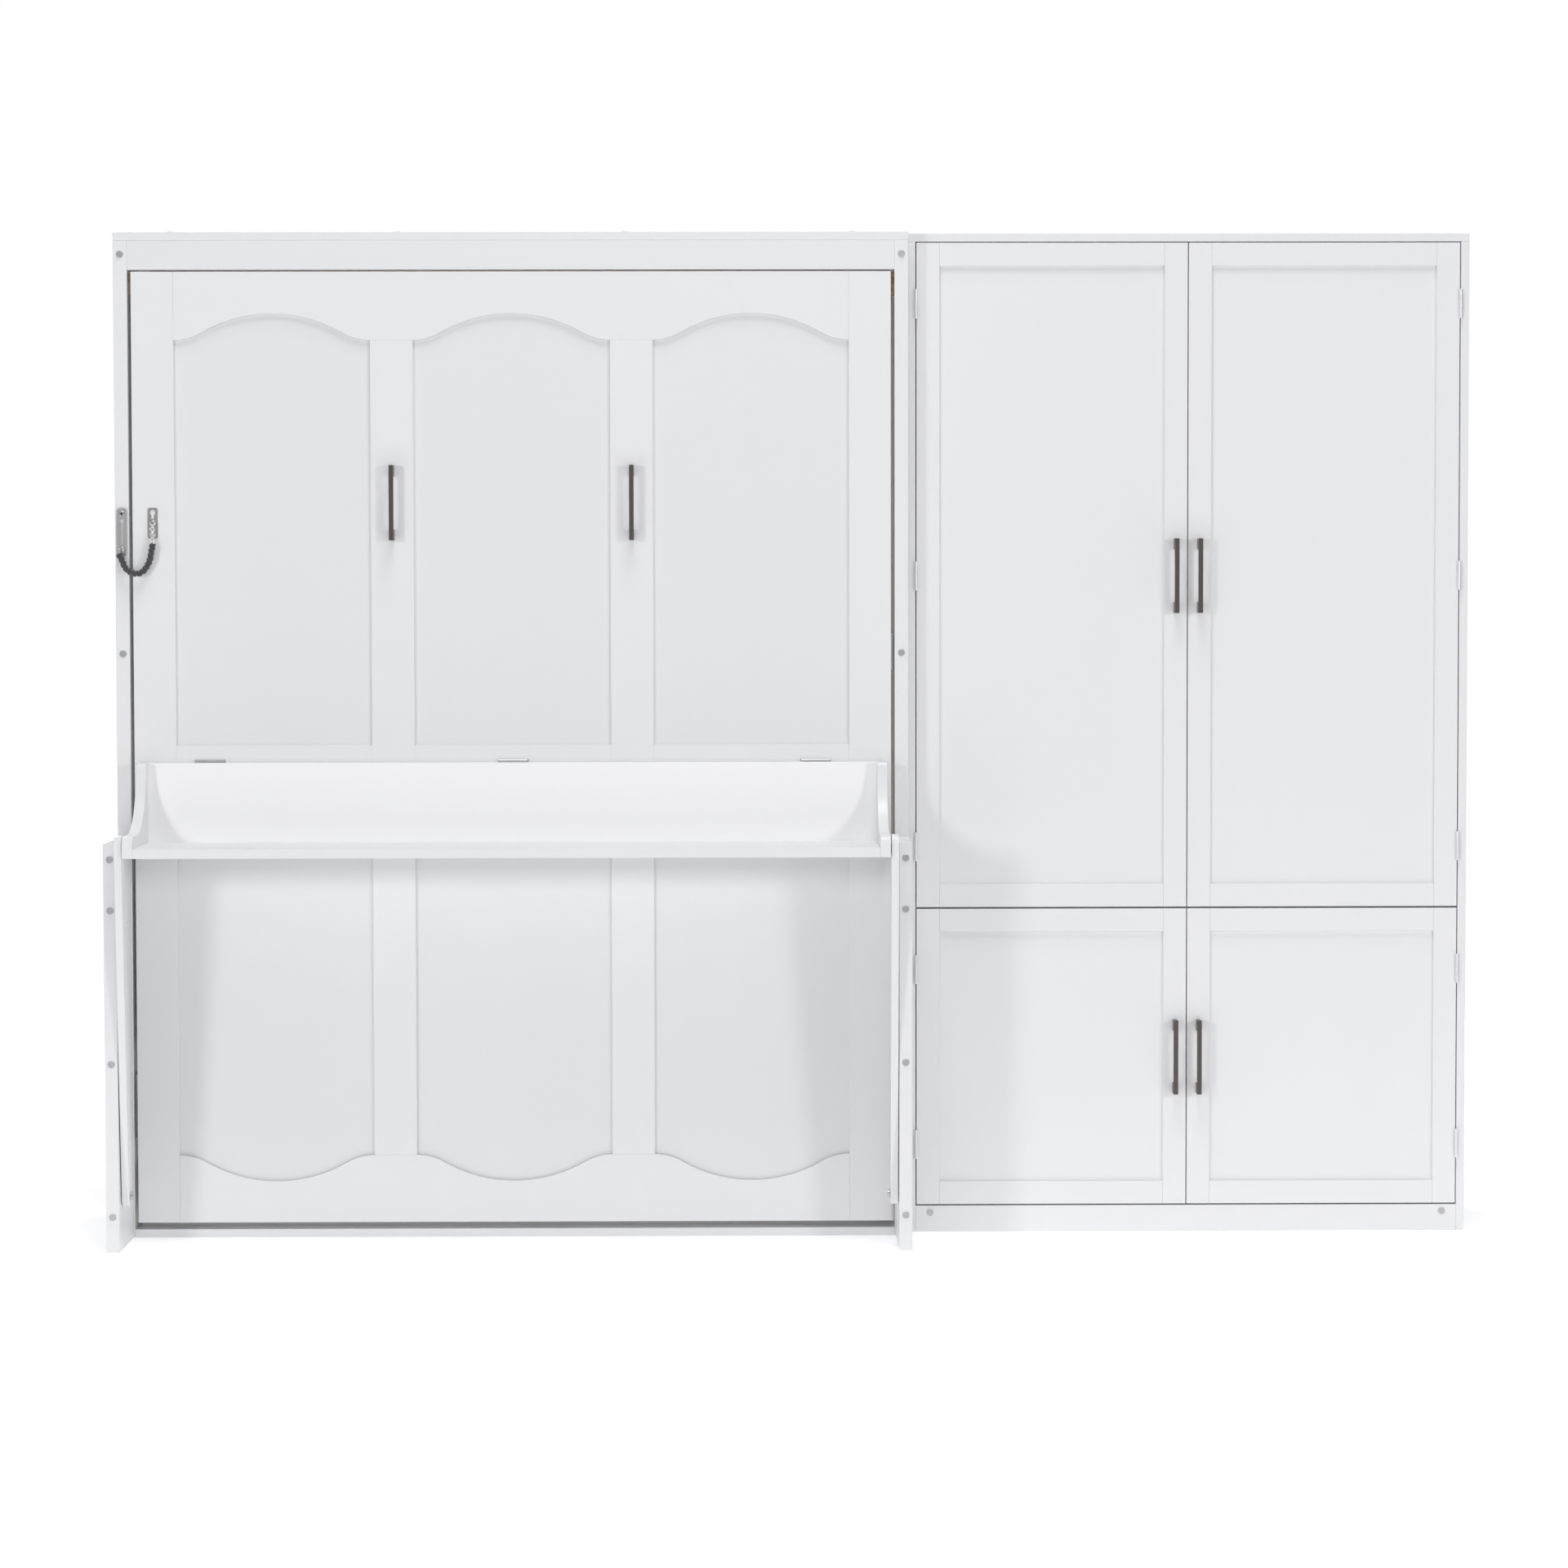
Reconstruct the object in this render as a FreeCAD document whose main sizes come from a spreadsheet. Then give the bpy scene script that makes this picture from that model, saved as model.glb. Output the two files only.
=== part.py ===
"""Vertical wall bed with a self-levelling desk and a four-door wardrobe, as a parametric document.

Origin: middle of the floor footprint. +X right, +Z up, the front faces -Y and the wall is at +Y.
"""
import FreeCAD, Part
import math
import os
import re
from FreeCAD import Placement, Rotation, Vector

os.makedirs("parts", exist_ok=True)
doc = FreeCAD.newDocument("wall_bed")

# ---------------------------------------------------------------- driving dimensions (mm)
SIZES = {
    # overall
    "total_width": 2972, "total_height": 2205, "bed_width": 1735, "bed_depth": 400,
    "desk_depth": 270, "wardrobe_setback": 50, "board": 18,
    # bed cabinet
    "post_thickness": 30, "post_depth": 60, "leg_thickness": 28, "leg_depth": 214,
    "leg_post_depth": 50, "leg_height": 881, "fascia_height": 64, "bottom_board_depth": 100,
    "side_rail_height": 80, "infill": 10, "back_rail_height": 100, "back_rail_thickness": 22,
    "wall_hole_radius": 4, "wall_hole_spacing": 1200, "wall_hole_low": 1100, "wall_hole_high": 2137,
    # bed door
    "door_gap": 8, "door_bottom": 33, "door_top": 2119, "sheet_thickness": 15, "overlay": 7,
    "stile_width": 92, "mullion_width": 93, "mullion_offset": 262, "end_rail_width": 149,
    "arch_rise": 58, "arch_end_radius": 120, "mid_rail_top": 1085, "mid_rail_width": 94,
    # bed frame behind the door
    "rail_thickness": 25, "rail_depth": 150, "mattress_gap": 772, "end_rail": 20,
    "frame_low": 38, "frame_high": 2114, "slat_thickness": 15, "slat_width": 70,
    "slat_stand_off": 38, "ledge_width": 22, "beam_width": 60,
    # desk, arms and linkage
    "desk_low": 853, "desk_thickness": 20, "back_top": 1047, "back_thickness": 18, "leaf_room": 2,
    "bracket_outer": 48, "bracket_thickness": 22, "bracket_nose": 47, "bracket_shoulder": 50,
    "arm_outer": 30, "arm_thickness": 16, "arm_width": 44, "arm_low_reach": 168,
    "arm_low_height": 117, "link_lean": 72, "link_rise": 762, "hinge_reach": 1,
    "hinge_height": 1050, "arm_bolt_radius": 5, "fit_gap": 0.05,
    # lift hardware
    "plate_thickness": 4, "pivot_radius": 8, "hub_radius": 16, "strut_x": 50, "strut_radius": 11,
    "strut_rod_radius": 5, "strut_top_reach": -210, "strut_top_height": 760,
    "strut_crank_reach": -20, "strut_crank_drop": 88, "cylinder_length": 345, "rod_length": 290,
    # wardrobe
    "plinth_height": 58, "wardrobe_back": 6, "divider_middle": 720, "door_clearance": 2,
    "wardrobe_sheet": 12, "wardrobe_overlay": 6, "frame_width": 51, "low_door_low": 61,
    "low_door_high": 718, "high_door_low": 722, "high_door_high": 2185, "hinge_inset": 134,
    "rod_radius": 12.5, "rod_height": 1900, "hat_shelf": 1960, "low_shelf": 380,
    # handles and small hardware
    "handle_length": 164, "handle_foot": 24, "handle_width": 10, "handle_bar": 8,
    "handle_reach": 32, "handle_inset": 25, "bolt_radius": 7.5, "bolt_head": 2,
    "leaf_length": 64, "leaf_thickness": 0.9, "knuckle_radius": 3.5, "pin_radius": 1.5,
    "leaf_depth": 17, "track_low": 1499.5, "stud_rise": 15.5, "keyhole_rise": 76.5,
    "sleeve_radius": 6.5, "link_radius": 4.3, "link_wire": 1.05, "link_pitch": 6.1,
}

sheet = doc.addObject("Spreadsheet::Sheet", "Sizes")
for row, (alias, number) in enumerate(SIZES.items(), start=1):
    sheet.set(f"A{row}", alias)
    sheet.set(f"B{row}", str(number))
    sheet.setAlias(f"B{row}", alias)
doc.recompute()


class Size:
    """Reads a driving dimension from the sheet as a number: size.board."""

    def __getattr__(self, alias):
        return float(sheet.get(alias))


size = Size()

# ---------------------------------------------------------------- named places, as expressions
LEFT = "-total_width / 2"
BED_RIGHT = "(bed_width - total_width / 2)"
BED_MIDDLE = "(bed_width - total_width) / 2"
WALL = "(bed_depth + desk_depth) / 2"
FRONT = "(desk_depth - bed_depth) / 2"
UNDER_TOP = "(total_height - board)"
WARDROBE_FRONT = f"({FRONT} + wardrobe_setback)"
WARDROBE_DOOR_BACK = f"({WARDROBE_FRONT} + wardrobe_sheet + wardrobe_overlay + 2)"
SHEET_BACK = f"({FRONT} + overlay + sheet_thickness)"
FRAME_HALF = "(mattress_gap + rail_thickness)"

# the same places as numbers, for the shapes that are made with Part's own functions
left = -size.total_width / 2
bed_right = left + size.bed_width
bed_middle = left + size.bed_width / 2
front = (size.desk_depth - size.bed_depth) / 2
wardrobe_front = front + size.wardrobe_setback
wardrobe_left = bed_right + size.board
wardrobe_right = size.total_width / 2 - size.board

nodes = {}


def bind(item, prop, expression):
    """Binds a property to an expression of the sheet's aliases."""
    words = re.sub(r"[a-z_]{3,}", lambda word: f"Sizes.{word.group()}", expression)
    item.setExpression(prop, words)


def board(name, corner, extent):
    """A rectangular board: lowest corner and size, each as three expressions."""
    item = doc.addObject("Part::Box", name)
    for prop, expression in zip(("Length", "Width", "Height"), extent):
        bind(item, prop, expression)
    for axis, expression in zip("xyz", corner):
        bind(item, f".Placement.Base.{axis}", expression)
    return item


def rod(name, centre, radius, length, axis="x"):
    """A cylinder that starts at centre and runs along +X, +Y or +Z."""
    item = doc.addObject("Part::Cylinder", name)
    bind(item, "Radius", radius)
    bind(item, "Height", length)
    turns = {"x": Rotation(Vector(0, 1, 0), 90), "y": Rotation(Vector(1, 0, 0), -90), "z": Rotation()}
    item.Placement = Placement(Vector(), turns[axis])
    for letter, expression in zip("xyz", centre):
        bind(item, f".Placement.Base.{letter}", expression)
    return item


def keep(name, item):
    """Makes an object a node of its own."""
    item.Label = name
    nodes[name] = item
    return item


def group(name, members):
    """Several separate solids of one kind as one node."""
    item = doc.addObject("Part::Compound", name)
    item.Links = members
    return keep(name, item)


def fuse(name, members):
    """Joins solids into one."""
    item = doc.addObject("Part::MultiFuse", name)
    item.Shapes = members
    return item


def cut(name, base, tool):
    """Cuts one solid out of another."""
    item = doc.addObject("Part::Cut", name)
    item.Base = base
    item.Tool = tool
    return item


def shaped(name, solids):
    """A node whose solids are made with Part's own functions."""
    item = doc.addObject("Part::Feature", name)
    item.Shape = solids[0] if len(solids) == 1 else Part.makeCompound(solids)
    return keep(name, item)


def origin_plane(body, role):
    """The body's own origin plane of that role."""
    return next(plane for plane in body.Origin.OriginFeatures if plane.Role == role)


def padded(name, role, edges, thickness, place):
    """A body padded from an outline on one of its origin planes, by an expression's thickness."""
    body = doc.addObject("PartDesign::Body", name)
    sketch = body.newObject("Sketcher::SketchObject", f"{name}_outline")
    sketch.AttachmentSupport = [(origin_plane(body, role), "")]
    sketch.MapMode = "FlatFace"
    for edge in edges:
        sketch.addGeometry(edge, False)
    pad = body.newObject("PartDesign::Pad", f"{name}_pad")
    pad.Profile = sketch
    bind(pad, "Length", thickness)
    body.Placement = Placement(Vector(*place), Rotation())
    return body


def line(start, end):
    """A straight edge of an outline."""
    return Part.LineSegment(Vector(*start, 0), Vector(*end, 0))


def arc(start, middle, end):
    """A round edge of an outline through three points."""
    return Part.Arc(Vector(*start, 0), Vector(*middle, 0), Vector(*end, 0))


def sides(make):
    """Calls make(tag, sign) for the left and the right of the bed and lists the results."""
    return [make("left", -1), make("right", 1)]


def beside(sign, inset, thickness):
    """Lowest X of a piece that lies inset from the bed cabinet's outer face on one side."""
    if sign < 0:
        return f"{LEFT} + {inset}"
    return f"{BED_RIGHT} - ({inset}) - {thickness}"


# ---------------------------------------------------------------- bed cabinet
def upright(tag, sign, kind, thickness, near, depth, height):
    """One full post of a side frame; near is its front face."""
    return board(f"{tag}_{kind}", (beside(sign, "0", thickness), near, "0"), (thickness, depth, height))


group("front_posts", sides(lambda tag, sign: upright(
    tag, sign, "front_post", "post_thickness", FRONT, "post_depth", UNDER_TOP)))
group("back_posts", sides(lambda tag, sign: upright(
    tag, sign, "back_post", "post_thickness", f"{WALL} - post_depth", "post_depth", UNDER_TOP)))
group("leg_posts", sides(lambda tag, sign: upright(
    tag, sign, "leg_post", "leg_thickness", f"{FRONT} - leg_depth", "leg_post_depth", "leg_height")))

CABINET_RAILS = {"foot": ("0", "120"), "middle": ("1245", "side_rail_height"),
                 "head": (f"{UNDER_TOP} - side_rail_height", "side_rail_height")}
LEG_RAILS = {"foot": ("0", "118"), "middle": ("367", "side_rail_height"),
             "head": ("leg_height - 180", "180")}
CABINET_INFILLS = {"lower": ("120", "1125"), "upper": ("1325", f"{UNDER_TOP} - 1325 - side_rail_height")}
LEG_INFILLS = {"lower": ("118", "249"), "upper": ("447", "leg_height - 180 - 447")}
INNER_DEPTH = "bed_depth - 2 * post_depth"
LEG_REACH = "(leg_depth - leg_post_depth)"
side_rails = []
side_panels = []
for tag, sign in (("left", -1), ("right", 1)):
    for kind, (low, height) in CABINET_RAILS.items():
        side_rails.append(board(
            f"{tag}_{kind}_rail", (beside(sign, "0", "post_thickness"), f"{FRONT} + post_depth", low),
            ("post_thickness", INNER_DEPTH, height)))
    for kind, (low, height) in LEG_RAILS.items():
        side_rails.append(board(
            f"{tag}_leg_{kind}_rail", (beside(sign, "0", "leg_thickness"), f"{FRONT} - {LEG_REACH}", low),
            ("leg_thickness", LEG_REACH, height)))
    for kind, (low, height) in CABINET_INFILLS.items():
        side_panels.append(board(
            f"{tag}_{kind}_infill", (beside(sign, "8", "infill"), f"{FRONT} + post_depth", low),
            ("infill", INNER_DEPTH, height)))
    for kind, (low, height) in LEG_INFILLS.items():
        side_panels.append(board(
            f"{tag}_leg_{kind}_infill",
            (beside(sign, "leg_thickness - infill", "infill"), f"{FRONT} - {LEG_REACH}", low),
            ("infill", LEG_REACH, height)))
group("side_rails", side_rails)
group("side_panels", side_panels)

BETWEEN_POSTS = "bed_width - 2 * post_thickness"
INNER_LEFT = f"{LEFT} + post_thickness"
keep("top_board", board("top_board", (LEFT, FRONT, UNDER_TOP), ("bed_width", "bed_depth", "board")))
keep("top_fascia", board("top_fascia", (INNER_LEFT, FRONT, f"{UNDER_TOP} - fascia_height"),
                         (BETWEEN_POSTS, "board", "fascia_height")))
keep("bottom_board", board("bottom_board", (INNER_LEFT, FRONT, "0"),
                           (BETWEEN_POSTS, "bottom_board_depth", "board")))

BACK_RAIL_FACE = f"{WALL} - back_rail_thickness"
back_rails = []
for kind, low in (("low", "board"), ("middle", "wall_hole_low - back_rail_height / 2"),
                  ("high", "wall_hole_high - back_rail_height / 2")):
    rail = board(f"{kind}_back_rail", (INNER_LEFT, BACK_RAIL_FACE, low),
                 (BETWEEN_POSTS, "back_rail_thickness", "back_rail_height"))
    if kind != "low":
        for tag, shift in (("left", "-"), ("right", "+")):
            hole = rod(f"{kind}_{tag}_wall_hole",
                       (f"{BED_MIDDLE} {shift} wall_hole_spacing / 2", f"{BACK_RAIL_FACE} - 1",
                        f"{low} + back_rail_height / 2"),
                       "wall_hole_radius", "back_rail_thickness + 2", "y")
            rail = cut(f"{kind}_{tag}_drilled", rail, hole)
    back_rails.append(rail)
group("back_rails", back_rails)

group("stop_blocks", sides(lambda tag, sign: board(
    f"{tag}_stop_block", (beside(sign, "post_thickness", "30"), f"{SHEET_BACK} + 0.3", "2069"),
    ("30", "37", "50"))))


# ---------------------------------------------------------------- bed door
DOOR_LEFT = f"({INNER_LEFT} + door_gap)"
DOOR_WIDTH = f"({BETWEEN_POSTS} - 2 * door_gap)"
DOOR_HEIGHT = "(door_top - door_bottom)"
half_door = size.bed_width / 2 - size.post_thickness - size.door_gap
half_field = half_door - size.stile_width
field_low = size.door_bottom + size.end_rail_width
field_high = size.door_top - size.end_rail_width

group("bed_door_stiles", [
    board("left_stile", (DOOR_LEFT, FRONT, "door_bottom"), ("stile_width", "overlay", DOOR_HEIGHT)),
    board("right_stile", (f"{DOOR_LEFT} + {DOOR_WIDTH} - stile_width", FRONT, "door_bottom"),
          ("stile_width", "overlay", DOOR_HEIGHT)),
])
MULLION_HEIGHT = f"{DOOR_HEIGHT} - 2 * end_rail_width"
MULLION_LOW = "door_bottom + end_rail_width"
MULLIONS = [board(f"{tag}_mullion",
                  (f"{BED_MIDDLE} {shift} mullion_offset - mullion_width / 2", FRONT, MULLION_LOW),
                  ("mullion_width", "overlay", MULLION_HEIGHT))
            for tag, shift in (("left", "-"), ("right", "+"))]
MID_RAIL_LOW = "mid_rail_top - mid_rail_width"
OUTER_BAY = f"{DOOR_WIDTH} / 2 - stile_width - mullion_offset - mullion_width / 2"
MID_RAILS = [
    board("left_mid_rail", (f"{DOOR_LEFT} + stile_width", FRONT, MID_RAIL_LOW),
          (OUTER_BAY, "overlay", "mid_rail_width")),
    board("centre_mid_rail", (f"{BED_MIDDLE} - mullion_offset + mullion_width / 2", FRONT, MID_RAIL_LOW),
          ("2 * mullion_offset - mullion_width", "overlay", "mid_rail_width")),
    board("right_mid_rail", (f"{BED_MIDDLE} + mullion_offset + mullion_width / 2", FRONT, MID_RAIL_LOW),
          (OUTER_BAY, "overlay", "mid_rail_width")),
]
HINGE_SPACING = 664


def hinge_grooves(owner):
    """Round grooves that clear the desk hinges' barrels, one per hinge."""
    return [rod(f"{owner}_groove_{number + 1}",
                (f"{BED_MIDDLE} + {(number - 1) * HINGE_SPACING} - leaf_length / 2 - 1", f"{FRONT} - hinge_reach",
                 "hinge_height"), "knuckle_radius + 0.3", "leaf_length + 2")
            for number in range(3)]


GROOVED_RAILS = [cut(f"{rail.Label}_grooved", rail, groove)
                 for rail, groove in zip(MID_RAILS, hinge_grooves("rail"))]
group("bed_door_mullions", MULLIONS + GROOVED_RAILS)

inner_mullion = size.mullion_offset - size.mullion_width / 2
outer_mullion = size.mullion_offset + size.mullion_width / 2
BAYS = [(-half_field, -outer_mullion), (-inner_mullion, inner_mullion), (outer_mullion, half_field)]


def ogee(start, end, level, rise):
    """The arched edge over one bay: a hollow arc, a crown arc and a hollow arc, tangent throughout."""
    half = (end - start) / 2
    middle = start + half
    way = math.copysign(1, rise)
    turn = 2 * math.atan(abs(rise) / half)
    hollow = size.arch_end_radius
    crown = half / math.sin(turn) - hollow

    def on_hollow(angle, side):
        return (middle + side * (half - hollow * math.sin(angle)),
                level + way * hollow * (1 - math.cos(angle)))

    def on_crown(angle):
        return (middle + crown * math.sin(angle), level + rise - way * crown * (1 - math.cos(angle)))

    return [arc((start, level), on_hollow(turn / 2, -1), on_hollow(turn, -1)),
            arc(on_hollow(turn, -1), on_crown(0), on_hollow(turn, 1)),
            arc(on_hollow(turn, 1), on_hollow(turn / 2, 1), (end, level))]


def arched_rail(name, outer, inner, rise):
    """An end rail of the door: straight outer edge, three arches in its inner edge."""
    edges = [line((half_field, outer), (-half_field, outer)), line((-half_field, outer), (-half_field, inner))]
    for number, (start, end) in enumerate(BAYS):
        if number:
            edges.append(line((BAYS[number - 1][1], inner), (start, inner)))
        edges += ogee(start, end, inner, rise)
    edges.append(line((half_field, inner), (half_field, outer)))
    return padded(name, "XZ_Plane", edges, "overlay", (bed_middle, front + size.overlay, 0))


keep("bed_door_top_rail", arched_rail("bed_door_top_rail", size.door_top, field_high, size.arch_rise))
keep("bed_door_bottom_rail",
     arched_rail("bed_door_bottom_rail", size.door_bottom, field_low, -size.arch_rise))
SHEET_SPLIT = "mid_rail_top - mid_rail_width / 2"
group("bed_door_sheets", [
    board("lower_sheet", (DOOR_LEFT, f"{FRONT} + overlay", "door_bottom"),
          (DOOR_WIDTH, "sheet_thickness", f"{SHEET_SPLIT} - door_bottom")),
    board("upper_sheet", (DOOR_LEFT, f"{FRONT} + overlay", SHEET_SPLIT),
          (DOOR_WIDTH, "sheet_thickness", f"door_top - ({SHEET_SPLIT})")),
])

# ---------------------------------------------------------------- bed frame behind the door
FRAME_LENGTH = "(frame_high - frame_low)"
MATTRESS_WIDTH = "2 * mattress_gap"
MATTRESS_LEFT = f"({BED_MIDDLE} - mattress_gap)"
group("bed_side_rails", [
    board("left_bed_rail", (f"{BED_MIDDLE} - {FRAME_HALF}", SHEET_BACK, "frame_low"),
          ("rail_thickness", "rail_depth", FRAME_LENGTH)),
    board("right_bed_rail", (f"{BED_MIDDLE} + mattress_gap", SHEET_BACK, "frame_low"),
          ("rail_thickness", "rail_depth", FRAME_LENGTH)),
])
group("bed_end_rails", [
    board("head_rail", (MATTRESS_LEFT, SHEET_BACK, "frame_low"), (MATTRESS_WIDTH, "rail_depth", "end_rail")),
    board("foot_rail", (MATTRESS_LEFT, SHEET_BACK, "frame_high - end_rail"),
          (MATTRESS_WIDTH, "rail_depth", "end_rail")),
])
DECK = f"({SHEET_BACK} + slat_stand_off)"
BAY_LOW = "(frame_low + end_rail)"
BAY_LENGTH = f"({FRAME_LENGTH} - 2 * end_rail)"
group("slat_supports", [
    board("left_ledge", (MATTRESS_LEFT, f"{DECK} - ledge_width", BAY_LOW), ("ledge_width", "ledge_width", BAY_LENGTH)),
    board("right_ledge", (f"{BED_MIDDLE} + mattress_gap - ledge_width", f"{DECK} - ledge_width", BAY_LOW),
          ("ledge_width", "ledge_width", BAY_LENGTH)),
    board("centre_beam", (f"{BED_MIDDLE} - beam_width / 2", SHEET_BACK, BAY_LOW),
          ("beam_width", "slat_stand_off", BAY_LENGTH)),
])
SLATS = 14
group("bed_slats", [
    board(f"slat_{number + 1}",
          (MATTRESS_LEFT, DECK, f"{BAY_LOW} + 20 + {number} * ({BAY_LENGTH} - 40 - slat_width) / {SLATS - 1}"),
          (MATTRESS_WIDTH, "slat_thickness", "slat_width"))
    for number in range(SLATS)
])

# ---------------------------------------------------------------- linkage places
arm_foot = Vector(0, front - size.arm_low_reach, size.arm_low_height)
arm_head = arm_foot + Vector(0, -size.link_lean, size.link_rise)
desk_axis = Vector(0, front - size.hinge_reach, size.hinge_height)
bed_axis = desk_axis - (arm_head - arm_foot)


def slab(low, extent):
    """A plain block from its lowest corner."""
    return Part.makeBox(*extent, Vector(*low))


def round_bar(start, end, radius):
    """A cylinder from one point to another."""
    way = end - start
    return Part.makeCylinder(radius, way.Length, start, way)


def span(sign, near, far):
    """X range of a piece that lies near..far inward from the bed cabinet's outer face."""
    if sign < 0:
        return left + near, left + far
    return bed_right - far, bed_right - near


def along(sign, centre, near, far, radius):
    """A cylinder along X through centre, near..far inward from the bed cabinet's outer face."""
    low, high = span(sign, near, far)
    return round_bar(Vector(low, centre.y, centre.z), Vector(high, centre.y, centre.z), radius)


def arm(tag, sign):
    """A link arm with round ends, bored for its foot bolt."""
    low, high = span(sign, size.arm_outer, size.arm_outer + size.arm_thickness)
    radius = size.arm_width / 2
    across = (arm_head - arm_foot).normalize().cross(Vector(1, 0, 0)) * radius
    tip = (arm_head - arm_foot).normalize() * radius
    corner = [arm_foot + across, arm_foot - across, arm_head - across, arm_head + across]
    edges = [Part.Arc(corner[0], arm_foot - tip, corner[1]), Part.LineSegment(corner[1], corner[2]),
             Part.Arc(corner[2], arm_head + tip, corner[3]), Part.LineSegment(corner[3], corner[0])]
    face = Part.Face(Part.Wire([edge.toShape() for edge in edges]))
    solid = face.extrude(Vector(high - low, 0, 0))
    solid.translate(Vector(low, 0, 0))
    bore = along(sign, arm_foot, 0, 80, size.arm_bolt_radius + size.fit_gap)
    return shaped(f"{tag}_arm", [solid.cut(bore)])


sides(arm)

# ---------------------------------------------------------------- desk
DESK_LEFT = f"({LEFT} + bracket_outer + bracket_thickness)"
DESK_WIDTH = "(bed_width - 2 * bracket_outer - 2 * bracket_thickness)"
plain_backboard = board("plain_backboard", (DESK_LEFT, f"{FRONT} - leaf_room - back_thickness", "desk_low"),
                        (DESK_WIDTH, "back_thickness", "back_top - desk_low"))
keep("desk_backboard", cut("desk_backboard", plain_backboard, fuse("board_grooves", hinge_grooves("board"))))
keep("desk_top", board("desk_top", (DESK_LEFT, f"{FRONT} - desk_depth", "desk_low"),
                       (DESK_WIDTH, "desk_depth - leaf_room - back_thickness", "desk_thickness")))


def bracket(tag, sign):
    """A desk end bracket: tall at the back, sweeping down to a rounded nose at the front."""
    low = span(sign, size.bracket_outer, size.bracket_outer + size.bracket_thickness)[0]
    back = front - size.leaf_room
    nose = front - size.desk_depth
    bottom = size.desk_low
    nose_top = bottom + size.bracket_nose
    radius = 20
    shoulder = back - size.bracket_shoulder
    sweep = size.back_top - nose_top - 8
    corner = radius * (1 - math.sqrt(0.5))
    swing = sweep * (1 - math.sqrt(0.5))
    edges = [
        line((back, bottom), (back, size.back_top)),
        line((back, size.back_top), (shoulder + 8, size.back_top)),
        arc((shoulder + 8, size.back_top), (shoulder + 8 * 0.293, size.back_top - 8 * 0.293),
            (shoulder, size.back_top - 8)),
        arc((shoulder, size.back_top - 8), (shoulder - swing, nose_top + swing), (shoulder - sweep, nose_top)),
        line((shoulder - sweep, nose_top), (nose + radius, nose_top)),
        arc((nose + radius, nose_top), (nose + corner, nose_top - corner), (nose, nose_top - radius)),
        line((nose, nose_top - radius), (nose, bottom)),
        line((nose, bottom), (back, bottom)),
    ]
    return padded(f"{tag}_desk_bracket", "YZ_Plane", edges, "bracket_thickness", (low, 0, 0))


group("desk_brackets", sides(bracket))


# ---------------------------------------------------------------- butt hinges
def hinge_half(centre, leaf, knuckles, inward):
    """Half of an upright butt hinge: a leaf and its knuckles round a pin along Z at centre."""
    half = size.leaf_length / 2
    reach = size.knuckle_radius + 0.4
    thick = size.leaf_thickness
    low_x = centre.x - 0.1 - thick if leaf < 0 else centre.x + 0.1
    solid = slab((low_x, centre.y + reach, centre.z - half), (thick, size.leaf_depth, 2 * half))
    for low, high in knuckles:
        barrel = Part.makeCylinder(size.knuckle_radius, high - low, Vector(centre.x, centre.y, centre.z + low))
        web = slab((low_x, centre.y, centre.z + low), (thick, reach, high - low))
        solid = solid.fuse(barrel).fuse(web)
    if inward:
        return solid.fuse(Part.makeCylinder(size.pin_radius, 2 * half, centre - Vector(0, 0, half))).removeSplitter()
    bore = Part.makeCylinder(size.pin_radius + size.fit_gap, 4 * half, centre - Vector(0, 0, 2 * half))
    return solid.cut(bore).removeSplitter()


third = size.leaf_length / 6
OUTER_KNUCKLES = [(-size.leaf_length / 2, -third - 0.4), (third + 0.4, size.leaf_length / 2)]
MIDDLE_KNUCKLE = [(-third, third)]


def laid(solid, centre, turns):
    """Turns a hinge half about its own centre."""
    for axis, angle in turns:
        solid.rotate(centre, axis, angle)
    return solid


DESK_HINGES = [bed_middle + turn * HINGE_SPACING for turn in (-1, 0, 1)]
desk_turns = [(Vector(0, 1, 0), 90), (Vector(1, 0, 0), -90)]
fixed_leaves = []
swing_leaves = []
for place in DESK_HINGES:
    centre = Vector(place, desk_axis.y, desk_axis.z)
    fixed_leaves.append(laid(hinge_half(centre, -1, OUTER_KNUCKLES, True), centre, desk_turns))
    swing_leaves.append(laid(hinge_half(centre, 1, MIDDLE_KNUCKLE, False), centre, desk_turns))


def pivot_bolt(sign, centre, shank_near, shank_far, head):
    """A pivot bolt along X whose domed head is on the inner side."""
    low, high = sorted((shank_far, shank_far + head))
    shank = along(sign, centre, shank_near, shank_far, size.arm_bolt_radius)
    return shank.fuse(along(sign, centre, low, high, size.arm_bolt_radius + 4)).removeSplitter()


arm_end = size.arm_outer + size.arm_thickness
desk_studs = [along(sign, arm_head, arm_end + 0.5, size.bracket_outer, size.arm_bolt_radius + 4) for sign in (-1, 1)]
shaped("desk_hinge_fixed_leaves", fixed_leaves)
shaped("desk_hardware", swing_leaves + desk_studs)

# ---------------------------------------------------------------- bed pivots and gas struts
rail_face = size.bed_width / 2 - size.mattress_gap - size.rail_thickness
strut_top = Vector(0, front - size.strut_top_reach, size.strut_top_height)
strut_foot = bed_axis + Vector(0, -size.strut_crank_reach, -size.strut_crank_drop)


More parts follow.
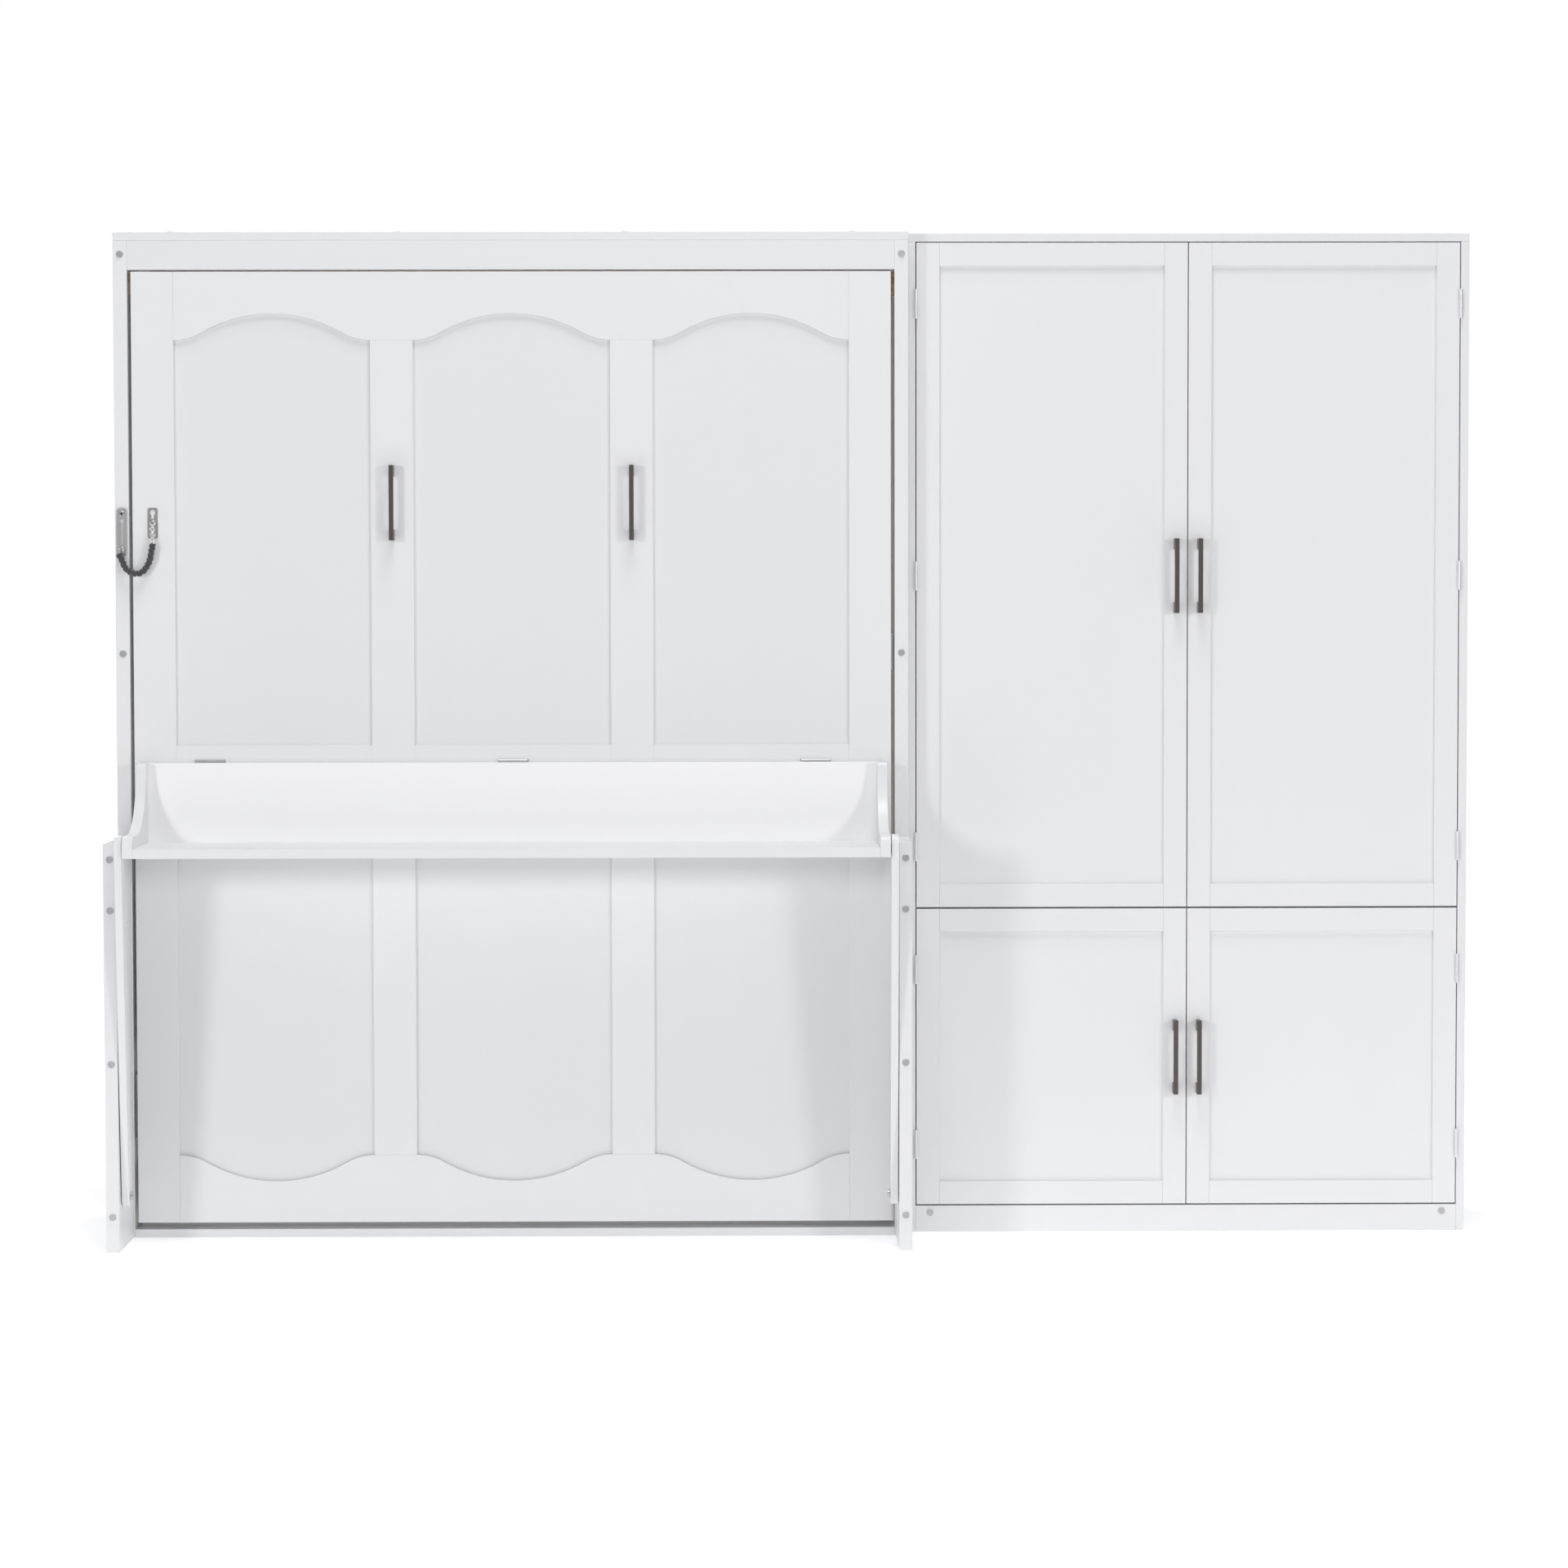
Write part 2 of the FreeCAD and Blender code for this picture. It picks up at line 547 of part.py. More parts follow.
def fixed_pivots(sign):
    """Cabinet side: a bed pivot plate with its pin, the arm's foot bolt and the strut's top bracket."""
    face = size.post_thickness
    low, high = span(sign, face, face + size.plate_thickness)
    plate = slab((low, bed_axis.y - 40, bed_axis.z - 70), (high - low, 80, 140))
    pivot = plate.fuse(along(sign, bed_axis, face, rail_face - 6, size.pivot_radius)).removeSplitter()
    top_plate = slab((low, strut_top.y - 20, strut_top.z - 30), (high - low, 40, 60))
    top_pin = along(sign, strut_top, face, size.strut_x + 6, 4)
    bolt = pivot_bolt(sign, arm_foot, size.leg_thickness, arm_end + 0.5, 5)
    return [pivot, top_plate.fuse(top_pin).removeSplitter(), bolt]


shaped("pivot_plates", fixed_pivots(-1) + fixed_pivots(1))


def hub(sign):
    """Bed side: a hub plate with a bored boss, and the stud that faces the strut's foot."""
    low, high = span(sign, rail_face - size.plate_thickness, rail_face)
    plate = slab((low, bed_axis.y - 36, bed_axis.z - 150), (high - low, 130, 210))
    boss = along(sign, bed_axis, rail_face - 22, rail_face, size.hub_radius)
    stud = along(sign, strut_foot, size.strut_x + 6.5, rail_face, 6)
    bore = along(sign, bed_axis, rail_face - 40, rail_face, size.pivot_radius + size.fit_gap)
    return plate.fuse(boss).fuse(stud).cut(bore).removeSplitter()


shaped("pivot_hubs", [hub(-1), hub(1)])


def strut(tag, sign):
    """A gas strut: the cylinder hangs from the cabinet, the rod reaches the bed frame."""
    middle = left + size.strut_x if sign < 0 else bed_right - size.strut_x
    top = Vector(middle, strut_top.y, strut_top.z)
    foot = Vector(middle, strut_foot.y, strut_foot.z)
    way = (foot - top).normalize()
    barrel = round_bar(top + way * 14, top + way * size.cylinder_length, size.strut_radius)
    eye = along(sign, strut_top, size.strut_x - 5, size.strut_x + 5, 9)
    pin_hole = along(sign, strut_top, 0, 90, 4 + size.fit_gap)
    neck = round_bar(top + way * 7, top + way * 16, 6)
    bore = round_bar(top + way * 24, top + way * (size.cylinder_length + 1), size.strut_rod_radius + size.fit_gap)
    shaped(f"{tag}_strut_cylinder", [barrel.fuse(neck).fuse(eye).cut(pin_hole).cut(bore).removeSplitter()])
    rod_bar = round_bar(foot - way * size.rod_length, foot - way * 6, size.strut_rod_radius)
    end = along(sign, strut_foot, size.strut_x - 6, size.strut_x + 6, 10)
    shaped(f"{tag}_strut_rod", [rod_bar.fuse(end).removeSplitter()])


sides(strut)


# ---------------------------------------------------------------- handles and bolts
def handle(middle, face, centre):
    """A square bow handle on a front face: bar and two feet, in one piece."""
    low = centre - size.handle_length / 2
    width = size.handle_width
    solid = slab((middle - width / 2, face - size.handle_reach, low), (width, size.handle_reach, size.handle_length))
    gap = slab((middle - width, face - size.handle_reach + size.handle_bar, low + size.handle_foot),
               (2 * width, size.handle_reach, size.handle_length - 2 * size.handle_foot))
    return solid.cut(gap)


BED_HANDLE_HEIGHT = 1615
shaped("bed_handles", [handle(bed_middle + shift * size.mullion_offset, front, BED_HANDLE_HEIGHT)
                       for shift in (-1, 1)])


def socket_bolt(place, way):
    """A flat bolt head with a hexagon socket; way points out of the face."""
    head = Part.makeCylinder(size.bolt_radius, size.bolt_head, place, way)
    wide = 3
    ring = [Vector(wide * math.cos(step * math.pi / 3), wide * math.sin(step * math.pi / 3), 0) for step in range(7)]
    socket = Part.Face(Part.makePolygon(ring)).extrude(Vector(0, 0, 2))
    socket.Placement = Placement(place + way * 0.8, Rotation(Vector(0, 0, 1), way))
    return head.cut(socket)


ahead = Vector(0, -1, 0)
bolts = []
for sign in (-1, 1):
    middle = left + size.post_thickness / 2 if sign < 0 else bed_right - size.post_thickness / 2
    for height in (2157, 1286):
        bolts.append(socket_bolt(Vector(middle, front, height), ahead))
    middle = left + size.leg_thickness / 2 if sign < 0 else bed_right - size.leg_thickness / 2
    for height in (848, 738, 407, 77):
        bolts.append(socket_bolt(Vector(middle, front - size.leg_depth, height), ahead))
for shift in (-746, -248, 248, 746):
    bolts.append(socket_bolt(Vector(bed_middle + shift, front + 20, size.total_height), Vector(0, 0, 1)))
for middle in (wardrobe_left + 32, wardrobe_right - 32):
    bolts.append(socket_bolt(Vector(middle, wardrobe_front, 43), ahead))
shaped("frame_bolts", bolts)


# ---------------------------------------------------------------- door chain
def flat_plate(low_x, width, low_z, height, near, thick, corner):
    """An upright plate with rounded corners; near is its back face, measured forward of the door face."""
    plate = slab((low_x, front - near - thick, low_z), (width, thick, height))
    upright_edges = [edge for edge in plate.Edges
                     if abs(edge.tangentAt(edge.FirstParameter).y) > 0.99]
    return plate.makeFillet(corner, upright_edges)


SCREW_LIFT = 4.6
CHAIN_LIFT = 8
ON_POST = 1.35
POST_RADIUS = 1.6


def screw(place, lift, radius):
    """A small domed screw head that sits on a plate, lift forward of the door face."""
    base = Vector(place.x, front - lift, place.z)
    return Part.makeCone(radius, 0.7 * radius, 1.6, base, ahead)


def pin(place, near, far, radius):
    """A round pin square to the door face, from near to far forward of it."""
    return round_bar(Vector(place.x, front - near, place.z), Vector(place.x, front - far, place.z), radius)


def link(place, lift, across):
    """One round chain link, across the door face or square to it."""
    way = Vector(1, 0, 0) if across else Vector(0, 1, 0)
    return Part.makeTorus(size.link_radius, size.link_wire, Vector(place.x, front - lift, place.z), way)


track_x = left + size.post_thickness / 2
track_height = 105
track = flat_plate(track_x - 11, 22, size.track_low, track_height, 3, 1.6, 8)
for low, height in ((size.track_low + 0.5, 9), (size.track_low + track_height - 18, 12)):
    track = track.fuse(slab((track_x - 8, front - 3, low), (16, 3, height)))
stud_place = Vector(track_x, 0, size.track_low + size.stud_rise)
keyhole_place = Vector(track_x, 0, size.track_low + size.keyhole_rise)
slot = slab((track_x - 2.6, front - 10, stud_place.z - 3), (5.2, 20, keyhole_place.z - stud_place.z + 3))
track = track.cut(slot).cut(pin(keyhole_place, 0, 10, 5.6)).removeSplitter()
shaped("chain_track", [track] + [screw(Vector(track_x, 0, size.track_low + rise), SCREW_LIFT, radius)
                                 for rise, radius in ((5.2, 3.6), (track_height - 12.5, 5.8))])

holder_x = left + 82.3
holder_low = 1537.5
HOLDER_THICKNESS = 1.6
holder = flat_plate(holder_x - 11.5, 23, holder_low, 68, 0, HOLDER_THICKNESS, 6)
post_place = Vector(holder_x, 0, holder_low + 34.5)
pear_low = Vector(holder_x, 0, holder_low + 46)
pear_high = Vector(holder_x, 0, holder_low + 57)
holder = holder.cut(pin(pear_high, -1, 5, 5.5)).cut(pin(pear_low, -1, 5, 2.6))
holder = holder.cut(slab((holder_x - 2.6, front - 5, pear_low.z), (5.2, 6, 11))).removeSplitter()
for near, far, radius in ((0, 3, 6), (0, 11, POST_RADIUS), (11, 12.4, 2.4)):
    holder = holder.fuse(pin(post_place, near, far, radius))
holder = holder.removeSplitter()
shaped("chain_holder", [holder, screw(Vector(holder_x, 0, holder_low + 12), HOLDER_THICKNESS, 3.6)])
hung = Vector(post_place.x, 0, post_place.z - ON_POST)
LINKS = 7
LEAN = 0.9
chain = []
for number in range(LINKS):
    middle = hung - Vector(0, 0, number * size.link_pitch)
    chain.append(link(middle, CHAIN_LIFT + number * LEAN, number % 2 == 1))
shaped("chain_links", chain)

stud = pin(stud_place, 1.2, 7.2, 2.2).fuse(pin(stud_place, 1, 2.6, 4.4)).fuse(pin(stud_place, 5.4, 7.2, 5.5))
stud = stud.fuse(pin(stud_place, 7, 11.5, POST_RADIUS)).fuse(pin(stud_place, 11.4, 12.8, 3)).removeSplitter()
shaped("chain_stud", [stud, link(stud_place - Vector(0, 0, ON_POST), 9.4, False)])

# the sleeved chain's route, hung from the holder to the stud: (right of the left edge, up) in mm
ROUTE = [(83.3, 1526.8), (81.8, 1511), (78.3, 1495.5), (73.1, 1480.3), (64.9, 1467.7), (52.4, 1461.2),
         (38.3, 1461.9), (26.4, 1469.3), (17.2, 1486.7), (10.2, 1504.8)]
sleeve_y = front - 14
route = [Vector(left + across, sleeve_y, up) for across, up in ROUTE]


def tangent_path(points):
    """Straight runs joined by arcs as large as the runs allow, and the radii of those arcs."""
    pieces = []
    radii = []
    start = points[0]
    for before, here, after in zip(points, points[1:], points[2:]):
        into = (here - before).normalize()
        out = (after - here).normalize()
        half_turn = into.getAngle(out) / 2
        setback = 0.45 * min((here - before).Length, (after - here).Length)
        radius = setback / math.tan(half_turn)
        enter = here - into * setback
        leave = here + out * setback
        inner = (out - into).normalize()
        crown = here + inner * (radius / math.cos(half_turn) - radius)
        pieces += [Part.LineSegment(start, enter).toShape(), Part.Arc(enter, crown, leave).toShape()]
        radii.append(radius)
        start = leave
    pieces.append(Part.LineSegment(start, points[-1]).toShape())
    return Part.Wire(pieces), radii


path, radii = tangent_path(route)
ring = Part.Wire([Part.makeCircle(size.sleeve_radius, route[0], route[1] - route[0])])
tube = path.makePipeShell([ring], True, True)
expected = math.pi * size.sleeve_radius ** 2 * path.Length
print(f"chain sleeve: {path.Length:.1f} mm long, radii {[round(radius, 1) for radius in radii]}, "
      f"volume {tube.Volume / expected:.4f} of section times length")
shaped("chain_sleeve", [tube])

# ---------------------------------------------------------------- wardrobe case
WARDROBE_LEFT = f"({BED_RIGHT} + board)"
WARDROBE_DEPTH = "(bed_depth - wardrobe_setback)"
WARDROBE_INNER = "(total_width - bed_width - 2 * board)"
INSIDE_DEPTH = f"({WALL} - wardrobe_back - {WARDROBE_DOOR_BACK})"
group("wardrobe_sides", [
    board("wardrobe_left_side", (BED_RIGHT, WARDROBE_FRONT, "0"), ("board", WARDROBE_DEPTH, UNDER_TOP)),
    board("wardrobe_right_side", ("total_width / 2 - board", WARDROBE_FRONT, "0"),
          ("board", WARDROBE_DEPTH, UNDER_TOP)),
])
keep("wardrobe_top", board("wardrobe_top", (BED_RIGHT, WARDROBE_FRONT, UNDER_TOP),
                           ("total_width - bed_width", WARDROBE_DEPTH, "board")))
keep("wardrobe_back", board("wardrobe_back", (WARDROBE_LEFT, f"{WALL} - wardrobe_back", "0"),
                            (WARDROBE_INNER, "wardrobe_back", UNDER_TOP)))
keep("wardrobe_plinth", board("wardrobe_plinth", (WARDROBE_LEFT, WARDROBE_FRONT, "0"),
                              (WARDROBE_INNER, "board", "plinth_height")))


def shelf(name, height, inset):
    """A shelf between the wardrobe's sides, set back from the doors by inset."""
    return board(name, (WARDROBE_LEFT, f"{WARDROBE_DOOR_BACK} + {inset}", height),
                 (WARDROBE_INNER, f"{INSIDE_DEPTH} - {inset}", "board"))


keep("wardrobe_bottom", shelf("wardrobe_bottom", "plinth_height - board", "0"))
keep("wardrobe_divider", shelf("wardrobe_divider", "divider_middle - board / 2", "0"))
group("wardrobe_shelves", [shelf("hat_shelf_board", "hat_shelf", "20"), shelf("low_shelf_board", "low_shelf", "20")])
ROD_PLACE = f"({WARDROBE_DOOR_BACK} + {INSIDE_DEPTH} / 2)"
SOCKET = "12"
rod_sockets = []
for tag, place in (("left", WARDROBE_LEFT), ("right", f"total_width / 2 - board - {SOCKET}")):
    cup = rod(f"{tag}_rod_cup", (place, ROD_PLACE, "rod_height"), "rod_radius + 5", SOCKET)
    hollow = rod(f"{tag}_rod_hollow", (place, ROD_PLACE, "rod_height"), "rod_radius + 0.1", SOCKET)
    rod_sockets.append(cut(f"{tag}_rod_socket", cup, hollow))
group("hanging_rod", [rod("rod_tube", (WARDROBE_LEFT, ROD_PLACE, "rod_height"), "rod_radius", WARDROBE_INNER)]
      + rod_sockets)

# ---------------------------------------------------------------- wardrobe doors
door_width = (wardrobe_right - wardrobe_left - 3 * size.door_clearance) / 2
DOORS = {
    "upper_left": (-1, size.high_door_low, size.high_door_high),
    "upper_right": (1, size.high_door_low, size.high_door_high),
    "lower_left": (-1, size.low_door_low, size.low_door_high),
    "lower_right": (1, size.low_door_low, size.low_door_high),
}
case_leaves = []
for name, (sign, low, high) in DOORS.items():
    low_x = wardrobe_left + size.door_clearance
    if sign > 0:
        low_x = wardrobe_right - size.door_clearance - door_width
    high_x = low_x + door_width
    face = wardrobe_front
    thick = size.wardrobe_overlay
    frame_width = size.frame_width
    stile_height = high - low
    rail_length = door_width - 2 * frame_width
    shaped(f"{name}_door", [
        slab((low_x, face + thick, low), (door_width, size.wardrobe_sheet, stile_height)),
        slab((low_x, face, low), (frame_width, thick, stile_height)),
        slab((high_x - frame_width, face, low), (frame_width, thick, stile_height)),
        slab((low_x + frame_width, face, low), (rail_length, thick, frame_width)),
        slab((low_x + frame_width, face, high - frame_width), (rail_length, thick, frame_width)),
    ])
    closing_edge = high_x if sign < 0 else low_x
    shaped(f"{name}_handle", [handle(closing_edge + sign * size.handle_inset, face, (low + high) / 2)])
    heights = [low + size.hinge_inset, high - size.hinge_inset]
    if name.startswith("upper"):
        heights.insert(1, (low + high) / 2)
    pin_x = (wardrobe_left if sign < 0 else wardrobe_right) - sign * size.door_clearance / 2
    pin_y = face - size.knuckle_radius - 0.4
    door_leaves = []
    for height in heights:
        centre = Vector(pin_x, pin_y, height)
        case_leaves.append(hinge_half(centre, sign, OUTER_KNUCKLES, True))
        door_leaves.append(hinge_half(centre, -sign, MIDDLE_KNUCKLE, False))
    shaped(f"{name}_hinge_leaves", door_leaves)
shaped("case_hinge_leaves", case_leaves)

# ---------------------------------------------------------------- check and write
doc.recompute()
for item in doc.Objects:
    if {"Invalid", "Error"} & set(item.State):
        raise RuntimeError(f"{item.Name} failed: {item.State}")
for name, item in nodes.items():
    shape = item.Shape
    if shape.isNull() or not shape.isValid() or not shape.Solids:
        raise RuntimeError(f"{name} has no valid solid")
    shape.exportStep(f"parts/{name}.step")

rotate = Rotation(Vector(1, 0, 0), 90)
strut_open = bed_axis + rotate.multVec(strut_foot - bed_axis)
rest_way = strut_foot - strut_top
open_way = strut_open - strut_top
swing = math.atan2(open_way.y, -open_way.z) - math.atan2(rest_way.y, -rest_way.z)
print("bed axis", bed_axis, "desk axis", desk_axis, "arm foot", arm_foot, "arm head", arm_head)
print("strut top", strut_top, "foot", strut_foot, "swing", swing, "stroke", open_way.Length - rest_way.Length)
print("strut way", rest_way.normalize(), "nodes", len(nodes))
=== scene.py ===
"""The looks of a vertical wall bed with a self-levelling desk and a four-door wardrobe.

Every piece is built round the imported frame, in metres: +X right, +Z up, the front faces -Y.
"""
from __future__ import annotations

import logging
import math
from dataclasses import dataclass, field
from enum import Enum
from typing import Callable, Sequence

import bpy
from mathutils import Euler, Matrix, Vector

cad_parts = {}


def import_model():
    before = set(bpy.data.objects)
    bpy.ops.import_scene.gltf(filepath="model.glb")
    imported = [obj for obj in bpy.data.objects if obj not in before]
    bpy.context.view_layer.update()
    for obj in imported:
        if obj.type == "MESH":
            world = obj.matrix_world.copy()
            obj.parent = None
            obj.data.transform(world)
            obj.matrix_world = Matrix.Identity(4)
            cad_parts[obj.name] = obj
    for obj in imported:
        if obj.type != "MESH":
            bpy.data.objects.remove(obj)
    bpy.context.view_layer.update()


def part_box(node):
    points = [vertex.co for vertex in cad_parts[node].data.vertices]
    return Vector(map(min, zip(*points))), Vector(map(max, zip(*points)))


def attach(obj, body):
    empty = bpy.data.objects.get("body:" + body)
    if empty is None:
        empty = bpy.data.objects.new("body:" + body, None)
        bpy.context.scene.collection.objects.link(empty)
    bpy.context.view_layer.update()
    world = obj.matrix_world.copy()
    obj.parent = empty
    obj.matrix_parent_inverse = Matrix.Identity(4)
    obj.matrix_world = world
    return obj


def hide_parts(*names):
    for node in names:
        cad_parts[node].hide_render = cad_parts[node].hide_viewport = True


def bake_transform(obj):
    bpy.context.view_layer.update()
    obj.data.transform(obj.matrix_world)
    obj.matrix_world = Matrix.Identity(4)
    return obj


log = logging.getLogger("wall_bed")
MM = 0.001
WELD = 0.01 * MM
CRISP_ANGLE = 50.0
DOORS = ("upper_left", "upper_right", "lower_left", "lower_right")


# ---------------------------------------------------------------- working by hand: selection and edit mode
def deselect_all() -> None:
    """Leaves nothing selected, in object mode."""
    if bpy.context.object and bpy.context.object.mode != "OBJECT":
        bpy.ops.object.mode_set(mode="OBJECT")
    bpy.ops.object.select_all(action="DESELECT")


def select_only(piece: bpy.types.Object) -> None:
    """Makes a piece the only one selected, and the active one.

    Args:
        piece: the piece to select.
    """
    deselect_all()
    piece.select_set(True)
    bpy.context.view_layer.objects.active = piece


def edit(piece: bpy.types.Object, mode: str = "FACE") -> None:
    """Opens a piece in edit mode with nothing selected.

    Args:
        piece: the mesh to work on.
        mode: VERT, EDGE or FACE.
    """
    select_only(piece)
    bpy.ops.object.mode_set(mode="EDIT")
    bpy.ops.mesh.select_mode(type=mode)
    bpy.ops.mesh.select_all(action="DESELECT")
    bpy.ops.object.mode_set(mode="OBJECT")


def pick_faces(piece: bpy.types.Object, wanted: Callable[[bpy.types.MeshPolygon], bool]) -> int:
    """Selects the faces that a test accepts and opens edit mode on them.

    Args:
        piece: the mesh to work on.
        wanted: says whether a face is selected, from its centre or normal.

    Returns:
        How many faces were selected.
    """
    edit(piece, "FACE")
    count = 0
    for face in piece.data.polygons:
        face.select = wanted(face)
        count += face.select
    bpy.ops.object.mode_set(mode="EDIT")
    return count


def leave(piece: bpy.types.Object) -> bpy.types.Object:
    """Goes back to object mode and puts the piece's place into its mesh.

    Args:
        piece: the piece that was worked on.

    Returns:
        The same piece.
    """
    if bpy.context.object and bpy.context.object.mode != "OBJECT":
        bpy.ops.object.mode_set(mode="OBJECT")
    select_only(piece)
    bpy.ops.object.transform_apply(location=True, rotation=True, scale=True)
    return piece


def recalculate(piece: bpy.types.Object) -> None:
    """Merges doubles and turns every face outwards.

    Args:
        piece: the mesh to put right.
    """
    edit(piece)
    bpy.ops.object.mode_set(mode="EDIT")
    bpy.ops.mesh.select_all(action="SELECT")
    bpy.ops.mesh.remove_doubles(threshold=WELD)
    bpy.ops.mesh.normals_make_consistent(inside=False)
    bpy.ops.object.mode_set(mode="OBJECT")


def ease(piece: bpy.types.Object, width: float, segments: int = 2, angle: float = 32.0) -> None:
    """Rounds a piece's sharp edges with a bevel that is applied.

    Args:
        piece: the mesh to round.
        width: the bevel's width in metres.
        segments: its number of faces.
        angle: edges flatter than this many degrees stay as they are.
    """
    select_only(piece)
    bevel = piece.modifiers.new("eased_edges", "BEVEL")
    bevel.width = width
    bevel.segments = segments
    bevel.limit_method = "ANGLE"
    bevel.angle_limit = math.radians(angle)
    bevel.use_clamp_overlap = True
    bpy.ops.object.modifier_apply(modifier=bevel.name)
    smooth(piece, CRISP_ANGLE)


def smooth(piece: bpy.types.Object, angle: float) -> None:
    """Shades a piece smooth, while its large flat faces stay flat to the edge.

    Args:
        piece: the mesh to shade.
        angle: edges sharper than this many degrees stay crisp.
    """
    select_only(piece)
    bpy.ops.object.shade_smooth_by_angle(angle=math.radians(angle))
    weights = piece.modifiers.new("flat_faces_lead", "WEIGHTED_NORMAL")
    weights.keep_sharp = True
    weights.weight = 100
    bpy.ops.object.modifier_apply(modifier=weights.name)


def new_object(name: str, data: bpy.types.ID) -> bpy.types.Object:
    """Makes an object and puts it in the scene.

    Args:
        name: the object's name.
        data: its mesh, curve, lamp or camera.

    Returns:
        The new object.
    """
    made = bpy.data.objects.new(name, data)
    bpy.context.collection.objects.link(made)
    return made


def duplicate(piece: bpy.types.Object, name: str, place: Matrix) -> bpy.types.Object:
    """Copies a piece with its own mesh and moves the copy's mesh.

    Args:
        piece: the piece to copy.
        name: the copy's name.
        place: the move from the model's place to the copy's.

    Returns:
        The copy, whose object sits at the origin.
    """
    copy = new_object(name, piece.data.copy())
    copy.data.transform(place)
    return copy


def joined(name: str, parts: Sequence[bpy.types.Object]) -> bpy.types.Object:
    """Joins several objects into one named piece.

    Args:
        name: the piece's name.
        parts: the objects to join.

    Returns:
        The joined piece.
    """
    deselect_all()
    for part in parts:
        part.select_set(True)
    bpy.context.view_layer.objects.active = parts[0]
    if len(parts) > 1:
        bpy.ops.object.join()
    parts[0].name = name
    parts[0].data.name = name
    return parts[0]


def discard(piece: bpy.types.Object) -> None:
    """Removes a model that only its copies stand for."""
    bpy.data.objects.remove(piece, do_unlink=True)


@dataclass(frozen=True)
class Box:
    """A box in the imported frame."""

    low: Vector
    high: Vector

    @property
    def centre(self) -> Vector:
        """The box's middle."""
        return (self.low + self.high) / 2

    @property
    def size(self) -> Vector:
        """The box's three sides."""
        return self.high - self.low


def node_box(node: str) -> Box:
    """The box of a CAD node at rest."""
    return Box(*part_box(node))


def place_key(point: Vector) -> tuple[float, float, float]:
    """A place rounded to a thousandth of a millimetre, so that corners which meet compare equal."""
    return tuple(round(value, 6) for value in point)


def closed_shells(node: str) -> list[list[list[tuple[float, float, float]]]]:
    """Splits a CAD node's loose triangles into its solids' closed shells.

    The solids are stored one after another, so a shell is complete as soon as each of its edges
    has been met twice. Solids that touch stay apart this way.

    Args:
        node: the CAD node.

    Returns:
        For each shell, its triangles, each as three places.
    """
    mesh = bpy.data.objects[node].data
    shells = []
    shell: list[list[tuple[float, float, float]]] = []
    open_edges: set[frozenset] = set()
    for face in mesh.polygons:
        corners = [place_key(mesh.vertices[index].co) for index in face.vertices]
        shell.append(corners)
        for start, end in zip(corners, corners[1:] + corners[:1]):
            open_edges ^= {frozenset((start, end))}
        if not open_edges:
            shells.append(shell)
            shell = []
    return shells + ([shell] if shell else [])


def solid_boxes(node: str) -> list[Box]:
    """The boxes of a CAD node's separate solids.

    Args:
        node: the CAD node.

    Returns:
        The boxes, from left to right and then upwards.
    """
    boxes = []
    for shell in closed_shells(node):
        points = [corner for triangle in shell for corner in triangle]
        boxes.append(Box(Vector([min(values) for values in zip(*points)]),
                         Vector([max(values) for values in zip(*points)])))
    return sorted(boxes, key=lambda box: (round(box.centre.x, 3), round(box.centre.z, 3)))


# ---------------------------------------------------------------- finishes
def linear(code: str) -> tuple[float, float, float, float]:
    """Turns an sRGB value into a linear colour.

    Args:
        code: six hex digits, such as F0F1F3.

    Returns:
        Red, green, blue and full opacity.
    """
    channels = [int(code[start:start + 2], 16) / 255 for start in (0, 2, 4)]
    curved = [value / 12.92 if value <= 0.04045 else ((value + 0.055) / 1.055) ** 2.4 for value in channels]
    return (*curved, 1.0)


def add_node(tree: bpy.types.NodeTree, kind: str, settings: dict | None = None,
             links: dict | None = None) -> bpy.types.Node:
    """Adds one node to a material.

    Args:
        tree: the material's node tree.
        kind: the node's type, such as ShaderNodeTexNoise.
        settings: values by name, of an input socket where there is one, else of the node itself.
        links: sockets to link from, by the name of the input that each goes to.

    Returns:
        The new node.
    """
    node = tree.nodes.new(kind)
    for name, value in (settings or {}).items():
        if name in node.inputs:
            node.inputs[name].default_value = value
        else:
            setattr(node, name, value)
    for name, socket in (links or {}).items():
        tree.links.new(socket, node.inputs[name])
    return node


class Grain(Enum):
    """Which way the wood or brushing runs: the stretch of a pattern along X, Y and Z."""

    ACROSS = (0.05, 1.0, 1.0)
    DEEP = (1.0, 0.05, 1.0)
    UP = (1.0, 1.0, 0.05)


@dataclass(frozen=True)
class Finish:
    """What every finish has: a name, a colour, a record slot and a roughness."""

    name: str
    colour: str
    slot: str
    roughness: float

    def start(self) -> tuple[bpy.types.Material, bpy.types.NodeTree, bpy.types.Node]:
        """Makes a material that holds only its shader and its output.

        Returns:
            The material, its node tree and its shader.
        """
        material = bpy.data.materials.new(self.name)
        material.use_nodes = True
        material.diffuse_color = linear(self.colour)
        tree = material.node_tree
        tree.nodes.clear()
        shader = add_node(tree, "ShaderNodeBsdfPrincipled",
                          {"Base Color": linear(self.colour), "Roughness": self.roughness})
        add_node(tree, "ShaderNodeOutputMaterial", links={"Surface": shader.outputs["BSDF"]})
        return material, tree, shader

    def material(self) -> bpy.types.Material:
        """The finished material."""
        raise NotImplementedError


def pattern_place(tree: bpy.types.NodeTree, stretch: tuple[float, float, float]) -> bpy.types.NodeSocket:
    """Object coordinates, stretched along the grain.

    Args:
        tree: the material's node tree.
        stretch: the scale along X, Y and Z.

    Returns:
        The socket that gives the stretched place.
    """
    where = add_node(tree, "ShaderNodeTexCoord")
    mapping = add_node(tree, "ShaderNodeMapping", {"Scale": stretch}, {"Vector": where.outputs["Object"]})
    return mapping.outputs["Vector"]


